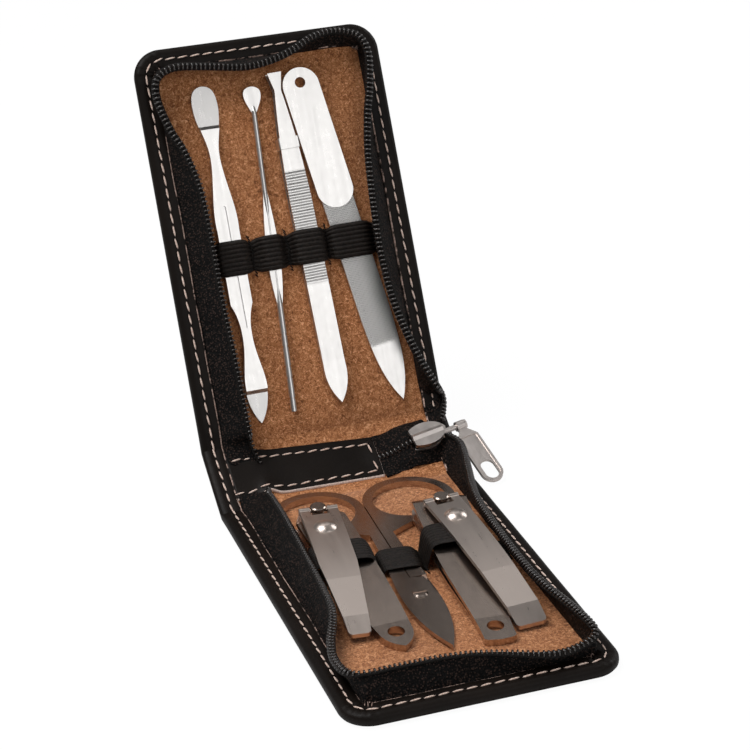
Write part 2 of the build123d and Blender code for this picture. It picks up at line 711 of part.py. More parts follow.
def make_tweezers():
    """Tweezers: two flat arms joined at the pointed end, and a ring that slides on them."""
    base = TWEEZER_BASE
    with BuildPart() as back_arm:
        with BuildSketch(base):
            add(tweezer_outline())
        extrude(amount=TWEEZER_ARM)
    write(back_arm, "tweezer_back_arm")

    under = [
        (-BEYOND, TWEEZER_ARM),
        (TWEEZER_JOINED, TWEEZER_ARM),
        (TWEEZER_BEND, TWEEZER_ARM + TWEEZER_GAP),
        (TWEEZER_LENGTH + BEYOND, TWEEZER_ARM + TWEEZER_GAP),
    ]
    over = [(y, level + TWEEZER_ARM) for y, level in under]
    rib_pitch = 2.4
    with BuildPart() as front_arm:
        with BuildSketch(base):
            add(tweezer_outline())
        extrude(amount=3 * TWEEZER_ARM + TWEEZER_GAP)
        with BuildSketch(side_view(base)):
            with BuildLine():
                Polyline(*under, *reversed(over), close=True)
            make_face()
            for rib in range(14):
                y = 34.0 + rib * rib_pitch
                rise = min((y - TWEEZER_JOINED) / (TWEEZER_BEND - TWEEZER_JOINED), 1)
                with Locations((y, 2 * TWEEZER_ARM + TWEEZER_GAP * rise)):
                    Rectangle(rib_pitch * 0.35, 0.3, mode=Mode.SUBTRACT)
        extrude(amount=2 * TWEEZER_HALF, both=True, mode=Mode.INTERSECT)
    write(front_arm, "tweezer_front_arm")

    height = 2 * TWEEZER_ARM + TWEEZER_GAP
    inner_half = 2.5 + RING_PLAY
    with BuildPart() as ring:
        across = Plane(
            origin=base.from_local_coords((0, RING_PLACE, height / 2)),
            x_dir=base.x_dir,
            z_dir=-base.y_dir,
        )
        with BuildSketch(across):
            RectangleRounded(
                2 * (inner_half + RING_WALL),
                height + 2 * (RING_PLAY + RING_WALL),
                RING_WALL,
            )
            Rectangle(2 * inner_half, height + 2 * RING_PLAY, mode=Mode.SUBTRACT)
        extrude(amount=RING_WIDTH / 2, both=True)
    write(ring, "tweezer_ring")


def make_file():
    """Nail file: a pointed blade whose tang sits in a pocket of its flat handle."""
    base = turned(UPPER, (FILE_X, FILE_V, TOOL_LEVEL), FILE_TURN)
    middle = FILE_HANDLE_THICKNESS / 2
    handle_end = FILE_HANDLE_START + FILE_HANDLE_LENGTH
    handle_half = FILE_HANDLE_WIDTH / 2
    tang_end = FILE_HANDLE_START + FILE_TANG
    with BuildPart() as blade:
        with BuildSketch(base.offset(middle - FILE_THICKNESS / 2)):
            with BuildLine() as edge:
                Spline((0, 0), (2.7, 6.7), (4.15, 15), (FILE_HALF, 25))
                Polyline((FILE_HALF, 25), (FILE_HALF, tang_end), (0, tang_end))
                mirror(edge.line, about=Plane.YZ)
            make_face()
        extrude(amount=FILE_THICKNESS)
    write(blade, "file_blade")

    with BuildPart() as handle:
        with BuildSketch(base):
            with Locations((0, FILE_HANDLE_START + FILE_HANDLE_LENGTH / 2)):
                SlotOverall(FILE_HANDLE_LENGTH, FILE_HANDLE_WIDTH, rotation=90)
            with Locations((0, handle_end - handle_half * 0.8)):
                Circle(FILE_HOLE / 2, mode=Mode.SUBTRACT)
        extrude(amount=FILE_HANDLE_THICKNESS)
        pocket = FILE_THICKNESS / 2 + FILE_PLAY
        with BuildSketch(base.offset(middle - pocket)):
            with Locations((0, tang_end + FILE_PLAY - FILE_TANG)):
                Rectangle(2 * (FILE_HALF + FILE_PLAY), 2 * FILE_TANG)
        extrude(amount=2 * pocket, mode=Mode.SUBTRACT)
    write(handle, "file_handle")


make_pusher()
make_pick()
make_tweezers()
make_file()


# ---- scissors ------------------------------------------------------------------------------
SCISSORS = Plane(
    origin=(SCISSOR_X, CREASE_Y - SCISSOR_V, TOOL_LEVEL),
    x_dir=(sin(radians(SCISSOR_TURN)), cos(radians(SCISSOR_TURN)), 0),
    z_dir=(0, 0, 1),
)


def make_scissor_half(name, side, blade_level):
    """One half of the scissors: full thickness from the step back to the finger loop, and
    half thickness in front, where it crosses the other half. side is 1 or -1."""
    loop_y = LOOP_RADIUS + LOOP_RIM + SCISSOR_SPLIT
    step = STEP_DISTANCE + STEP_PLAY
    half_thickness = SCISSOR_THICKNESS / 2
    hole = SCREW_RADIUS + SCREW_PLAY
    shank = [
        (step, SCISSOR_SPLIT),
        (LOOP_DISTANCE, SCISSOR_SPLIT),
        (LOOP_DISTANCE - LOOP_RADIUS, loop_y),
        (LOOP_DISTANCE - LOOP_RADIUS - 2.8, 9.8),
        (34.4, 3.2),
        (21.0, 3.6),
        (step, 4.7),
    ]
    with BuildPart() as half:
        with BuildSketch(SCISSORS):
            with BuildLine():
                Polyline(*[(x, side * y) for x, y in shank], close=True)
            make_face()
            with Locations((LOOP_DISTANCE, side * loop_y)):
                Circle(LOOP_RADIUS + LOOP_RIM)
                Circle(LOOP_RADIUS, mode=Mode.SUBTRACT)
        extrude(amount=SCISSOR_THICKNESS)
        with BuildSketch(SCISSORS.offset(blade_level)):
            with BuildLine():
                back = Spline(
                    (-BLADE_LENGTH, 0),
                    (-BLADE_LENGTH * 0.6, side * 3.6),
                    (0, side * BLADE_HALF),
                    (STEP_DISTANCE, side * 4.8),
                )
                Line(back @ 1, (step, side * 4.7))
                Line((step, side * 4.7), (step, side * SCISSOR_SPLIT))
                Line((step, side * SCISSOR_SPLIT), (STEP_DISTANCE, -side * 3.6))
                Spline(
                    (STEP_DISTANCE, -side * 3.6),
                    (0, -side * 4.0),
                    (-BLADE_LENGTH * 0.55, -side * 2.2),
                    (-BLADE_LENGTH, 0),
                )
            make_face()
            Circle(hole, mode=Mode.SUBTRACT)
        extrude(amount=half_thickness)
    write(half, name)


def make_scissor_screw():
    """Pivot screw with a low slotted head."""
    profile = [
        (0, 0),
        (SCREW_RADIUS, 0),
        (SCREW_RADIUS, SCISSOR_THICKNESS + SCREW_PLAY),
        (SCREW_HEAD_RADIUS, SCISSOR_THICKNESS + SCREW_PLAY),
        (SCREW_HEAD_RADIUS * 0.8, SCISSOR_THICKNESS + SCREW_HEAD),
        (0, SCISSOR_THICKNESS + SCREW_HEAD),
    ]
    with BuildPart() as screw:
        with BuildSketch(Plane(SCISSORS.origin, x_dir=SCISSORS.x_dir, z_dir=-SCISSORS.y_dir)):
            with BuildLine():
                Polyline(*profile, close=True)
            make_face()
        revolve(axis=Axis(SCISSORS.origin, SCISSORS.z_dir))
        with BuildSketch(SCISSORS.offset(SCISSOR_THICKNESS + SCREW_HEAD * 0.6)):
            Rectangle(0.5, 4 * SCREW_RADIUS)
        extrude(amount=SCREW_HEAD, mode=Mode.SUBTRACT)
    write(screw, "scissor_screw")


make_scissor_half("scissor_left_half", 1, SCISSOR_THICKNESS / 2)
make_scissor_half("scissor_right_half", -1, 0)
make_scissor_screw()


# ---- clippers --------------------------------------------------------------------------------
ARM_PARTING = ARM_GAP / (PIN_DISTANCE - ARM_JOINED)   # slope of each arm's inner face


def clipper_plane(x, v, heading):
    """Plane of a clipper: origin in its tail hole between the arms, X towards the jaws."""
    slope = radians(CLIPPER_SLOPE)
    east = sin(radians(heading))
    north = cos(radians(heading))
    return Plane(
        origin=(x, CREASE_Y - v, CLIPPER_HEIGHT),
        x_dir=(east * cos(slope), north * cos(slope), sin(slope)),
        z_dir=(-east * sin(slope), -north * sin(slope), cos(slope)),
    )


def clipper_side(base):
    """Side view of a clipper: X along it and Y along its normal."""
    return Plane(origin=base.origin, x_dir=base.x_dir, z_dir=-base.y_dir)


def make_clipper_arm(base, name, style, side):
    """One sprung arm of a clipper, flat at the tail and hooked into a jaw. side is 1 for
    the upper arm and -1 for the lower one."""
    crest = style["crest"]
    jaw = style["jaw"]
    tail = style["tail"]

    def inner(x):
        return (x - ARM_JOINED) * ARM_PARTING

    lip = 0.15
    outline = [
        (-tail - BEYOND, 0),
        (ARM_JOINED, 0),
        (PIN_DISTANCE - 2, inner(PIN_DISTANCE - 2)),
        (jaw, JAW_GAP),
        (jaw, JAW_GAP + lip),
        (crest, inner(crest) + ARM),
        (ARM_JOINED, ARM),
        (-tail - BEYOND, ARM),
    ]
    with BuildPart() as arm:
        with BuildSketch(clipper_side(base)):
            with BuildLine():
                Polyline(*[(x, side * level) for x, level in outline], close=True)
            make_face()
        extrude(amount=3 * PIN_FOOT_RADIUS, both=True)
        with BuildSketch(base.offset(-2 * PIN_FOOT_RADIUS)):
            with BuildLine() as edge:
                Spline(*style["side"])
                if style["round_tail"]:
                    start = style["side"][0]
                    ThreePointArc((-tail, 0), (start[0] - 3.6, start[1] * 0.72), start)
                else:
                    Polyline((-tail, 0), (-tail + 0.5, 3.3), style["side"][0])
                Polyline(style["side"][-1], *style["front"], (jaw, 0))
                mirror(edge.line, about=Plane.XZ)
            make_face()
        extrude(amount=4 * PIN_FOOT_RADIUS, mode=Mode.INTERSECT)
        with BuildSketch(base.offset(-2 * PIN_FOOT_RADIUS)):
            Circle(TAIL_HOLE_RADIUS)
            with Locations((PIN_DISTANCE, 0)):
                Circle(PIN_RADIUS + PIN_PLAY * (1 if side < 0 else 4))
        extrude(amount=4 * PIN_FOOT_RADIUS, mode=Mode.SUBTRACT)
    write(arm, name)


def make_clipper_pin(base, name, style):
    """Pin that passes through both arms: a foot below, a cross-bar for the lever, and a
    round head."""
    foot_top = -(ARM_GAP + ARM) - PIN_FOOT_RADIUS * ARM_PARTING - PIN_PLAY
    head_start = BAR_HEIGHT + BAR_RADIUS * 0.6
    profile = [
        (0, foot_top - PIN_FOOT),
        (PIN_FOOT_RADIUS, foot_top - PIN_FOOT),
        (PIN_FOOT_RADIUS, foot_top),
        (PIN_RADIUS, foot_top),
        (PIN_RADIUS, head_start),
        (PIN_HEAD_RADIUS, head_start),
        (PIN_HEAD_RADIUS, head_start + PIN_HEAD * 0.75),
        (PIN_HEAD_RADIUS * 0.85, head_start + PIN_HEAD),
        (0, head_start + PIN_HEAD),
    ]
    middle = turned(base, (PIN_DISTANCE, 0, 0), style["swing"])
    with BuildPart() as pin:
        with BuildSketch(clipper_side(middle)):
            with BuildLine():
                Polyline(*profile, close=True)
            make_face()
        revolve(axis=Axis(middle.origin, middle.z_dir))
        with BuildSketch(clipper_side(middle)):
            with Locations((0, BAR_HEIGHT)):
                Circle(BAR_RADIUS)
        extrude(amount=BAR_REACH, both=True)
    write(pin, name)


def make_clipper_lever(base, name, style):
    """Thumb lever folded down on the arms: two prongs with eyes on the pin's cross-bar, a
    pressed dome behind them, and a blade that bows over the elastic and dips at its end."""
    lever = turned(base, (PIN_DISTANCE, 0, 0), 180 + style["swing"])
    reach = style["lever_length"]
    slot_end = 3.2
    low = BAR_HEIGHT - LEVER / 2
    bow = low + 0.5
    dome_x = 10.0
    head_half = style["lever_half"]
    tip_half = style["tip_half"]
    bend = (reach - 21.0, bow - 0.6)
    heel = (reach - 6.0, 1.75)
    end = (reach, style["lever_end"])

    def raised(point):
        return (point[0], point[1] + LEVER)

    with BuildPart() as thumb:
        with BuildSketch(clipper_side(lever)):
            with BuildLine():
                ThreePointArc((0, low), (bend[0] * 0.45, bow), bend)
                Polyline(bend, heel, end, raised(end), raised(heel), raised(bend))
                ThreePointArc(raised(bend), raised((bend[0] * 0.45, bow)), raised((0, low)))
                Line(raised((0, low)), (0, low))
            make_face()
            with Locations((0, BAR_HEIGHT)):
                Circle(LEVER_EYE_RADIUS)
                Circle(BAR_RADIUS + BAR_PLAY, mode=Mode.SUBTRACT)
        extrude(amount=3 * PIN_FOOT_RADIUS, both=True)
        with BuildSketch(lever.offset(-PIN_FOOT_RADIUS)):
            with BuildLine() as edge:
                Line((-2 * LEVER_EYE_RADIUS, 0), (-2 * LEVER_EYE_RADIUS, head_half))
                Line((-2 * LEVER_EYE_RADIUS, head_half), (reach * 0.5, head_half * 0.96))
                Line((reach * 0.5, head_half * 0.96), (reach - 1.2, tip_half))
                RadiusArc((reach - 1.2, tip_half), (reach, tip_half - 1.2), 1.2)
                Line((reach, tip_half - 1.2), (reach, 0))
                mirror(edge.line, about=Plane.XZ)
            make_face()
            with Locations((slot_end - 2 * BEYOND, 0)):
                Rectangle(4 * BEYOND, 2 * LEVER_FORK_GAP, mode=Mode.SUBTRACT)
        extrude(amount=4 * PIN_FOOT_RADIUS, mode=Mode.INTERSECT)
        dome = Plane(
            origin=lever.from_local_coords((dome_x, 0, bow + LEVER / 2)),
            x_dir=lever.x_dir,
            z_dir=-lever.y_dir,
        )
        crown = LEVER / 2 + LEVER_DOME_HEIGHT
        with BuildSketch(dome):
            with BuildLine():
                Line((0, 0), (0, crown))
                ThreePointArc(
                    (0, crown),
                    (LEVER_DOME_RADIUS * 0.6, crown * 0.76),
                    (LEVER_DOME_RADIUS, 0),
                )
                Line((LEVER_DOME_RADIUS, 0), (0, 0))
            make_face()
        revolve(axis=Axis(dome.origin, lever.z_dir))
    write(thumb, name)


CLIPPERS = {
    "right_clipper": {
        "place": (11.05, 88.7, 6.0),
        "side": [(-5.0, 4.1), (2.0, 4.25), (28.0, 6.7), (50.0, 7.3), (58.5, 7.4)],
        "front": [(60.5, 7.2), (61.6, 6.6)],
        "tail": 6.1,
        "round_tail": False,
        "crest": 58.3,
        "jaw": 61.6,
        "swing": 9.3,
        "lever_length": 58.0,
        "lever_half": 4.9,
        "tip_half": 4.15,
        "lever_end": -0.45,
    },
    "left_clipper": {
        "place": (-12.8, 82.0, -2.7),
        "side": [(0.0, 4.4), (12.0, 5.5), (28.0, 6.3), (46.0, 6.8), (55.0, 6.8)],
        "front": [(62.2, 3.2)],
        "tail": 6.6,
        "round_tail": True,
        "crest": 54.0,
        "jaw": 63.0,
        "swing": -9.0,
        "lever_length": 55.0,
        "lever_half": 5.2,
        "tip_half": 2.9,
        "lever_end": 0.1,
    },
}

for clipper, style in CLIPPERS.items():
    plane = clipper_plane(*style["place"])
    make_clipper_arm(plane, f"{clipper}_lower_arm", style, -1)
    make_clipper_arm(plane, f"{clipper}_upper_arm", style, 1)
    make_clipper_pin(plane, f"{clipper}_pin", style)
    make_clipper_lever(plane, f"{clipper}_lever", style)


# ---- elastic ------------------------------------------------------------------------------------
def ribbon(path):
    """Closed outline of a band of the elastic's thickness whose underside runs on a path."""
    upper = []
    for before, here, after in zip([path[0]] + path[:-1], path, path[1:] + [path[-1]]):
        normals = []
        for start, end in ((before, here), (here, after)):
            length = hypot(end[0] - start[0], end[1] - start[1])
            if length > 0:
                normals.append(((start[1] - end[1]) / length, (end[0] - start[0]) / length))
        mean_x = sum(normal[0] for normal in normals) / len(normals)
        mean_y = sum(normal[1] for normal in normals) / len(normals)
        square = mean_x**2 + mean_y**2
        upper.append((here[0] + ELASTIC * mean_x / square, here[1] + ELASTIC * mean_y / square))
    return path + upper[::-1]


def make_band(base, width, name, fronts, backs):
    """Elastic band: the same run of humps at its front and back edge, at different heights."""
    with BuildPart() as band:
        for offset, path in ((-width / 2, fronts), (width / 2, backs)):
            with BuildSketch(base.offset(offset)):
                with BuildLine():
                    Polyline(*ribbon(path), close=True)
                make_face()
        loft(ruled=True)
    write(band, name)


def hump(left, right, top, floor, lean_left=0.4, lean_right=0.4):
    """Path of one hump over a tool, from the lining up, across and down again."""
    return [(left, floor), (left + lean_left, top), (right - lean_right, top), (right, floor)]


def make_upper_band():
    """Elastic across the upper leaf, sewn down between the tools."""
    sewn = LINING_TOP
    pusher_top = TOOL_LEVEL + PUSHER_THICKNESS + ELASTIC_CLEAR
    pick_top = TOOL_LEVEL + 1.6 * PICK_RADIUS + ELASTIC_CLEAR
    tweezer_top = TOOL_LEVEL + RING_WALL + 2 * TWEEZER_ARM + TWEEZER_GAP + ELASTIC_CLEAR
    file_top = TOOL_LEVEL + FILE_HANDLE_THICKNESS / 2 + FILE_THICKNESS / 2 + ELASTIC_CLEAR
    run = [(-BAND_REACH, sewn)]
    run += hump(-22.4, -12.9, pusher_top, sewn)
    run += hump(-9.4, -2.3, pick_top, sewn)
    run += hump(-0.1, 9.3, tweezer_top, sewn)
    run += hump(10.7, 23.4, file_top, sewn)
    run += [(BAND_REACH, sewn)]
    across = Plane(
        origin=UPPER.from_local_coords((0, UPPER_BAND_V, 0)),
        x_dir=UPPER.x_dir,
        z_dir=-UPPER.y_dir,
    )
    make_band(across, UPPER_BAND_WIDTH, "upper_elastic", run, run)


def make_lower_band():
    """Elastic across the lower leaf: over the arms of both clippers, under their levers, and
    over the scissors' shanks, sewn down between them."""
    sewn = LINING_TOP
    scissors_top = TOOL_LEVEL + SCISSOR_THICKNESS + ELASTIC_CLEAR
    paths = []
    for v in (LOWER_BAND_V + LOWER_BAND_WIDTH / 2, LOWER_BAND_V - LOWER_BAND_WIDTH / 2):
        tops = []
        for style in CLIPPERS.values():
            x = style["place"][1] - v
            arm_top = ARM + (x - ARM_JOINED) * ARM_PARTING
            level = CLIPPER_HEIGHT + x * tan(radians(CLIPPER_SLOPE)) + arm_top
            tops.append(level + ELASTIC_CLEAR)
        run = [(-BAND_REACH, sewn)]
        run += hump(-23.6, -7.2, tops[1], sewn, 2.0, 0.4)
        run += hump(-5.0, 4.6, scissors_top, sewn, 0.3, 0.3)
        run += hump(7.2, 25.2, tops[0], sewn, 0.4, 2.0)
        run += [(BAND_REACH, sewn)]
        paths.append(run)
    middle_y = CREASE_Y - LOWER_BAND_V
    across = Plane(origin=(0, middle_y, 0), x_dir=(1, 0, 0), z_dir=(0, -1, 0))
    make_band(across, LOWER_BAND_WIDTH, "lower_elastic", paths[1], paths[0])


make_upper_band()
make_lower_band()
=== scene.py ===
# %% [markdown]
# # A zip-up manicure case, standing open
# The case is leather with a suede lining, a zip whose two halves stand up as soft walls, and
# steel tools held by two elastics. The steel tools and the zip's slider come from the CAD model
# and get new finishes. Everything soft is built here, in the same frame, in metres.

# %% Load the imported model
import math

import bmesh
import bpy
import numpy as np
from mathutils import Matrix, Vector, noise


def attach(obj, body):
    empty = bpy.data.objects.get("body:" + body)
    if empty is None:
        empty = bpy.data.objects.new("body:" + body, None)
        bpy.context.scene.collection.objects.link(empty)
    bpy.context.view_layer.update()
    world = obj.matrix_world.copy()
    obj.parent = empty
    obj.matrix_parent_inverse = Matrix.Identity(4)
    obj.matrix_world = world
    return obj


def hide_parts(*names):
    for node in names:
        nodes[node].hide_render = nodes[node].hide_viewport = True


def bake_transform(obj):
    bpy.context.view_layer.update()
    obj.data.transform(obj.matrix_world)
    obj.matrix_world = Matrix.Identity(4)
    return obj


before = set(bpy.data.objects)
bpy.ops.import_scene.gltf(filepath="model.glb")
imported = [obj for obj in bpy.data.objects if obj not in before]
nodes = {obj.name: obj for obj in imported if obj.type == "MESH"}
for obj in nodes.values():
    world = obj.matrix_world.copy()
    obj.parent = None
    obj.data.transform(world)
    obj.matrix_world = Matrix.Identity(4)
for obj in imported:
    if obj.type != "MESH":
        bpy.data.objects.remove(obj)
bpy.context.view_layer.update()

MM = 0.001
scene = bpy.context.scene

# %% [markdown]
# ## The three panels
# The case has three panels: the lower leaf on the table, the spine, and the upper leaf. Each
# could be made flat and then turned into place, but every piece's place has to be in its mesh. So
# a point on a panel is given as x across, v away from the crease and w up from the leather's
# outer face, in millimetres, and these functions turn it into a point of the scene.

# %% Panel coordinates
HALF_WIDTH = 36.0
LEAF = 114.5
SPINE = 22.2
FOLD = math.radians(31.5)
CREASE_Y = LEAF / 2
PIVOT = 0.4
LOWER_HINGE = np.array([0.0, CREASE_Y, PIVOT])
SPINE_UP = np.array([0.0, math.cos(FOLD), math.sin(FOLD)])
SPINE_OUT = np.array([0.0, -math.sin(FOLD), math.cos(FOLD)])
UPPER_HINGE = LOWER_HINGE + SPINE * SPINE_UP
UPPER_UP = np.array([0.0, math.cos(2 * FOLD), math.sin(2 * FOLD)])
UPPER_OUT = np.array([0.0, -math.sin(2 * FOLD), math.cos(2 * FOLD)])
X_AXIS = np.array([1.0, 0.0, 0.0])
Z_AXIS = np.array([0.0, 0.0, 1.0])


def place(points, hinge, along, out):
    """Panel points (x, v, w) in millimetres to scene points in millimetres."""
    p = np.asarray(points, float)
    return hinge + p[..., :1] * X_AXIS + p[..., 1:2] * along + (p[..., 2:3] - PIVOT) * out


def lower(points):
    return place(points, LOWER_HINGE, np.array([0.0, -1.0, 0.0]), Z_AXIS)


def spine(points):
    return place(points, LOWER_HINGE, SPINE_UP, SPINE_OUT)


def upper(points):
    return place(points, UPPER_HINGE, UPPER_UP, UPPER_OUT)

# %% [markdown]
# ## Lines and directions
# Coil, seam, stitches and elastics all follow lines. A line is a few points read from the case,
# and a Catmull-Rom curve, which passes through its points, makes it smooth and evenly spaced.
# Bezier curves would need handles for each point.

# %% Curve helpers
def part_of(value, whole):
    """How far a value is along a whole, kept from 0 to 1."""
    return min(max(value / whole, 0.0), 1.0)


def unit(vectors):
    """Vectors of length one, or zero where they were zero."""
    return vectors / (np.linalg.norm(vectors, axis=-1, keepdims=True) + 1e-9)


def tangents(path):
    """Direction of a path at each of its points."""
    return unit(np.vstack([path[1:], path[-1:]]) - np.vstack([path[:1], path[:-1]]))


def run_along(points):
    """Length along a row of points, counted from the first."""
    return np.concatenate([[0], np.cumsum(np.linalg.norm(np.diff(points, axis=0), axis=1))])


def smooth_path(points, count):
    """Catmull-Rom curve through a few points, as evenly spaced points."""
    p = np.asarray(points, float)
    p = np.vstack([2 * p[:1] - p[1:2], p, 2 * p[-1:] - p[-2:-1]])
    fine = []
    for a, b, c, d in zip(p[:-3], p[1:-2], p[2:-1], p[3:]):
        t = np.linspace(0, 1, 24, endpoint=False)[:, None]
        fine.append(0.5 * (2 * b + (c - a) * t + (2 * a - 5 * b + 4 * c - d) * t**2
                           + (3 * b - a - 3 * c + d) * t**3))
    fine = np.vstack(fine + [p[-2:-1]])
    run = run_along(fine)
    at = np.linspace(0, run[-1], count)
    return np.stack([np.interp(at, run, fine[:, k]) for k in range(fine.shape[1])], 1)


print("top of the spine, mm:", UPPER_HINGE.round(1))

# %% [markdown]
# ## Meshes from grids
# Cloth and leather are sheets, and a sheet is a grid of points: one direction runs along the
# piece and the other across it. Sculpting would give the same look, but not the same result at
# each run. The helper also stores a UV map in metres, so that a weave can follow the cloth.

# %% Grid meshes
pieces = {}


def grid_piece(name, points, materials, closed_v=False, pick=None, caps=False):
    """Mesh from points[u][v] in millimetres; pick(u, v) gives the material of a face."""
    nu, nv = points.shape[:2]
    mesh = bpy.data.meshes.new(name)
    faces, slots = [], []
    for u in range(nu - 1):
        for v in range(nv if closed_v else nv - 1):
            here, there, beside = u * nv, (u + 1) * nv, (v + 1) % nv
            faces.append((here + v, there + v, there + beside, here + beside))
            slots.append(pick(u, v) if pick else 0)
    if caps:
        faces.append(tuple(range(nv))[::-1])
        faces.append(tuple((nu - 1) * nv + k for k in range(nv)))
        slots += [0, 0]
    mesh.from_pydata((points.reshape(-1, 3) * MM).tolist(), [], faces)
    run_u, run_v = run_along(points[:, nv // 2]), run_along(points[nu // 2])
    uv = mesh.uv_layers.new(name="cloth")
    for loop in mesh.loops:
        k = loop.vertex_index
        uv.data[loop.index].uv = (run_u[k // nv] * MM, run_v[k % nv] * MM)
    for material in materials:
        mesh.materials.append(material)
    mesh.polygons.foreach_set("material_index", slots)
    mesh.polygons.foreach_set("use_smooth", [True] * len(mesh.polygons))
    obj = bpy.data.objects.new(name, mesh)
    scene.collection.objects.link(obj)
    pieces[name] = obj
    return obj


def outward(obj):
    """Turn the faces of a closed mesh outwards."""
    work = bmesh.new()
    work.from_mesh(obj.data)
    bmesh.ops.remove_doubles(work, verts=work.verts, dist=1e-6)
    bmesh.ops.recalc_face_normals(work, faces=work.faces)
    work.to_mesh(obj.data)
    work.free()
    return obj


def thicken(obj, thickness, offset=-1.0):
    """Give a sheet its thickness, in millimetres, and leave a plain mesh."""
    solid = obj.modifiers.new("thickness", "SOLIDIFY")
    solid.thickness = thickness * MM
    solid.offset = offset
    return plain(obj)


def plain(obj):
    """Replace a piece's mesh by its evaluated one, and drop its modifiers."""
    depsgraph = bpy.context.evaluated_depsgraph_get()
    mesh = bpy.data.meshes.new_from_object(obj.evaluated_get(depsgraph))
    old = obj.data
    obj.modifiers.clear()
    obj.data = mesh
    if old.users == 0:
        bpy.data.meshes.remove(old)
    return obj


# %% [markdown]
# ## Finishes
# Each finish is a node material. Grain, knit and brushing are noise at their real size, in the
# piece's own coordinates, so no image is needed and nothing stretches. The helper class makes the
# long node calls short, and what several materials share is a node group, built once.

# %% Node helpers
def rgba(value):
    """A colour of three numbers with its alpha; anything else as it is."""
    return (*value, 1) if isinstance(value, tuple) and len(value) == 3 else value


class Wiring:
    """A short way to add nodes to a tree and join them."""

    def __init__(self, tree):
        self.tree = tree

    def feed(self, node, inputs):
        """Link or set a node's inputs."""
        for key, value in inputs.items():
            if isinstance(value, bpy.types.NodeSocket):
                self.tree.links.new(value, node.inputs[key])
            else:
                node.inputs[key].default_value = value

    def add(self, kind, inputs=None, **settings):
        node = self.tree.nodes.new(kind)
        for key, value in settings.items():
            setattr(node, key, value)
        self.feed(node, inputs or {})
        return node

    def math(self, operation, a, b=0.0):
        return self.add("ShaderNodeMath", {0: a, 1: b}, operation=operation).outputs[0]

    def noise(self, vector, scale, detail=2.0, rough=0.5, distortion=0.0):
        node = self.add("ShaderNodeTexNoise", {
            "Vector": vector, "Scale": scale, "Detail": detail, "Roughness": rough,
            "Distortion": distortion})
        return node.outputs["Fac"]

    def ramp(self, fac, stops):
        node = self.add("ShaderNodeValToRGB", {"Fac": fac})
        ramp = node.color_ramp
        while len(ramp.elements) < len(stops):
            ramp.elements.new(0.5)
        for element, (position, colour) in zip(ramp.elements, stops):
            element.position = position
            element.color = rgba(colour)
        return node.outputs["Color"]

    def mix(self, fac, a, b):
        inputs = {0: fac, 6: rgba(a), 7: rgba(b)}
        return self.add("ShaderNodeMix", inputs, data_type="RGBA").outputs[2]


def new_group(name, inputs, outputs):
    """An empty shader node group with named sockets: (name, type, default)."""
    tree = bpy.data.node_groups.new(name, "ShaderNodeTree")
    for label, kind, default in inputs:
        socket = tree.interface.new_socket(label, in_out="INPUT", socket_type=kind)
        if default is not None:
            socket.default_value = default
    for label, kind in outputs:
        tree.interface.new_socket(label, in_out="OUTPUT", socket_type=kind)
    w = Wiring(tree)
    return tree, w, w.add("NodeGroupInput").outputs, w.add("NodeGroupOutput").inputs


def new_material(name):
    """A node material, its wiring helper and its surface shader."""
    material = bpy.data.materials.new(name)
    material.use_nodes = True
    tree = material.node_tree
    return material, Wiring(tree), tree.nodes["Principled BSDF"]


def bump(w, shader, height, distance, strength=1.0):
    """Raise the surface by a height from 0 to 1 over a distance in millimetres."""
    node = w.add("ShaderNodeBump", {
        "Height": height, "Distance": distance * MM, "Strength": strength})
    w.feed(shader, {"Normal": node.outputs[0]})


def grouped(w, tree, vector, **values):
    """Outputs of a node group that is placed in a material."""
    return w.add("ShaderNodeGroup", {"Vector": vector, **values}, node_tree=tree).outputs


# %% [markdown]
# ## Shared effects
# Two effects are used by several finishes. Mottle breaks up a colour at a large and a small size,
# as dye, wear and dust do. Brushing is very long, thin noise, as an abrasive belt leaves it on
# steel. Each is a node group that puts out only masks, so each material chooses what to do with
# them.

# %% Shared effects
FLOAT, VECTOR = "NodeSocketFloat", "NodeSocketVector"
mottle_group, w, g_in, g_out = new_group(
    "mottle", [("Vector", VECTOR, None), ("Size", FLOAT, 100.0)],
    [("Broad", FLOAT), ("Fine", FLOAT)])
broad = w.add("ShaderNodeTexNoise", {
    "Vector": g_in["Vector"], "Scale": g_in["Size"], "Detail": 4.0})
fine = w.add("ShaderNodeTexNoise", {
    "Vector": g_in["Vector"], "Scale": w.math("MULTIPLY", g_in["Size"], 12.0),
    "Detail": 6.0, "Roughness": 0.65})
w.tree.links.new(broad.outputs["Fac"], g_out["Broad"])
w.tree.links.new(fine.outputs["Fac"], g_out["Fine"])

brush_group, w, g_in, g_out = new_group(
    "brushing", [("Vector", VECTOR, None), ("Size", FLOAT, 700.0), ("Run", FLOAT, 0.02)],
    [("Lines", FLOAT)])
squeeze = w.add("ShaderNodeCombineXYZ", {0: 1.0, 1: g_in["Run"], 2: g_in["Run"]})
long_vector = w.add("ShaderNodeVectorMath", {0: g_in["Vector"], 1: squeeze.outputs[0]},
                    operation="MULTIPLY").outputs[0]
lines = w.add("ShaderNodeTexNoise", {
    "Vector": long_vector, "Scale": g_in["Size"], "Detail": 5.0, "Roughness": 0.7})
w.tree.links.new(lines.outputs["Fac"], g_out["Lines"])
print("node groups:", [tree.name for tree in bpy.data.node_groups])


# %% [markdown]
# ## Leather and its cut edges
# The case is near-black dyed leather. A Voronoi texture at the size of the pores gives the grain,
# and mottle makes some places shinier than others, which a plain dark colour would not show.
# Where the leather is cut the dye stops, so the cut edges are a second material with pinkish
# fibres in broken runs.

# %% Leather
def object_vector(w):
    """The piece's own coordinates, in metres."""
    return w.add("ShaderNodeTexCoord").outputs["Object"]


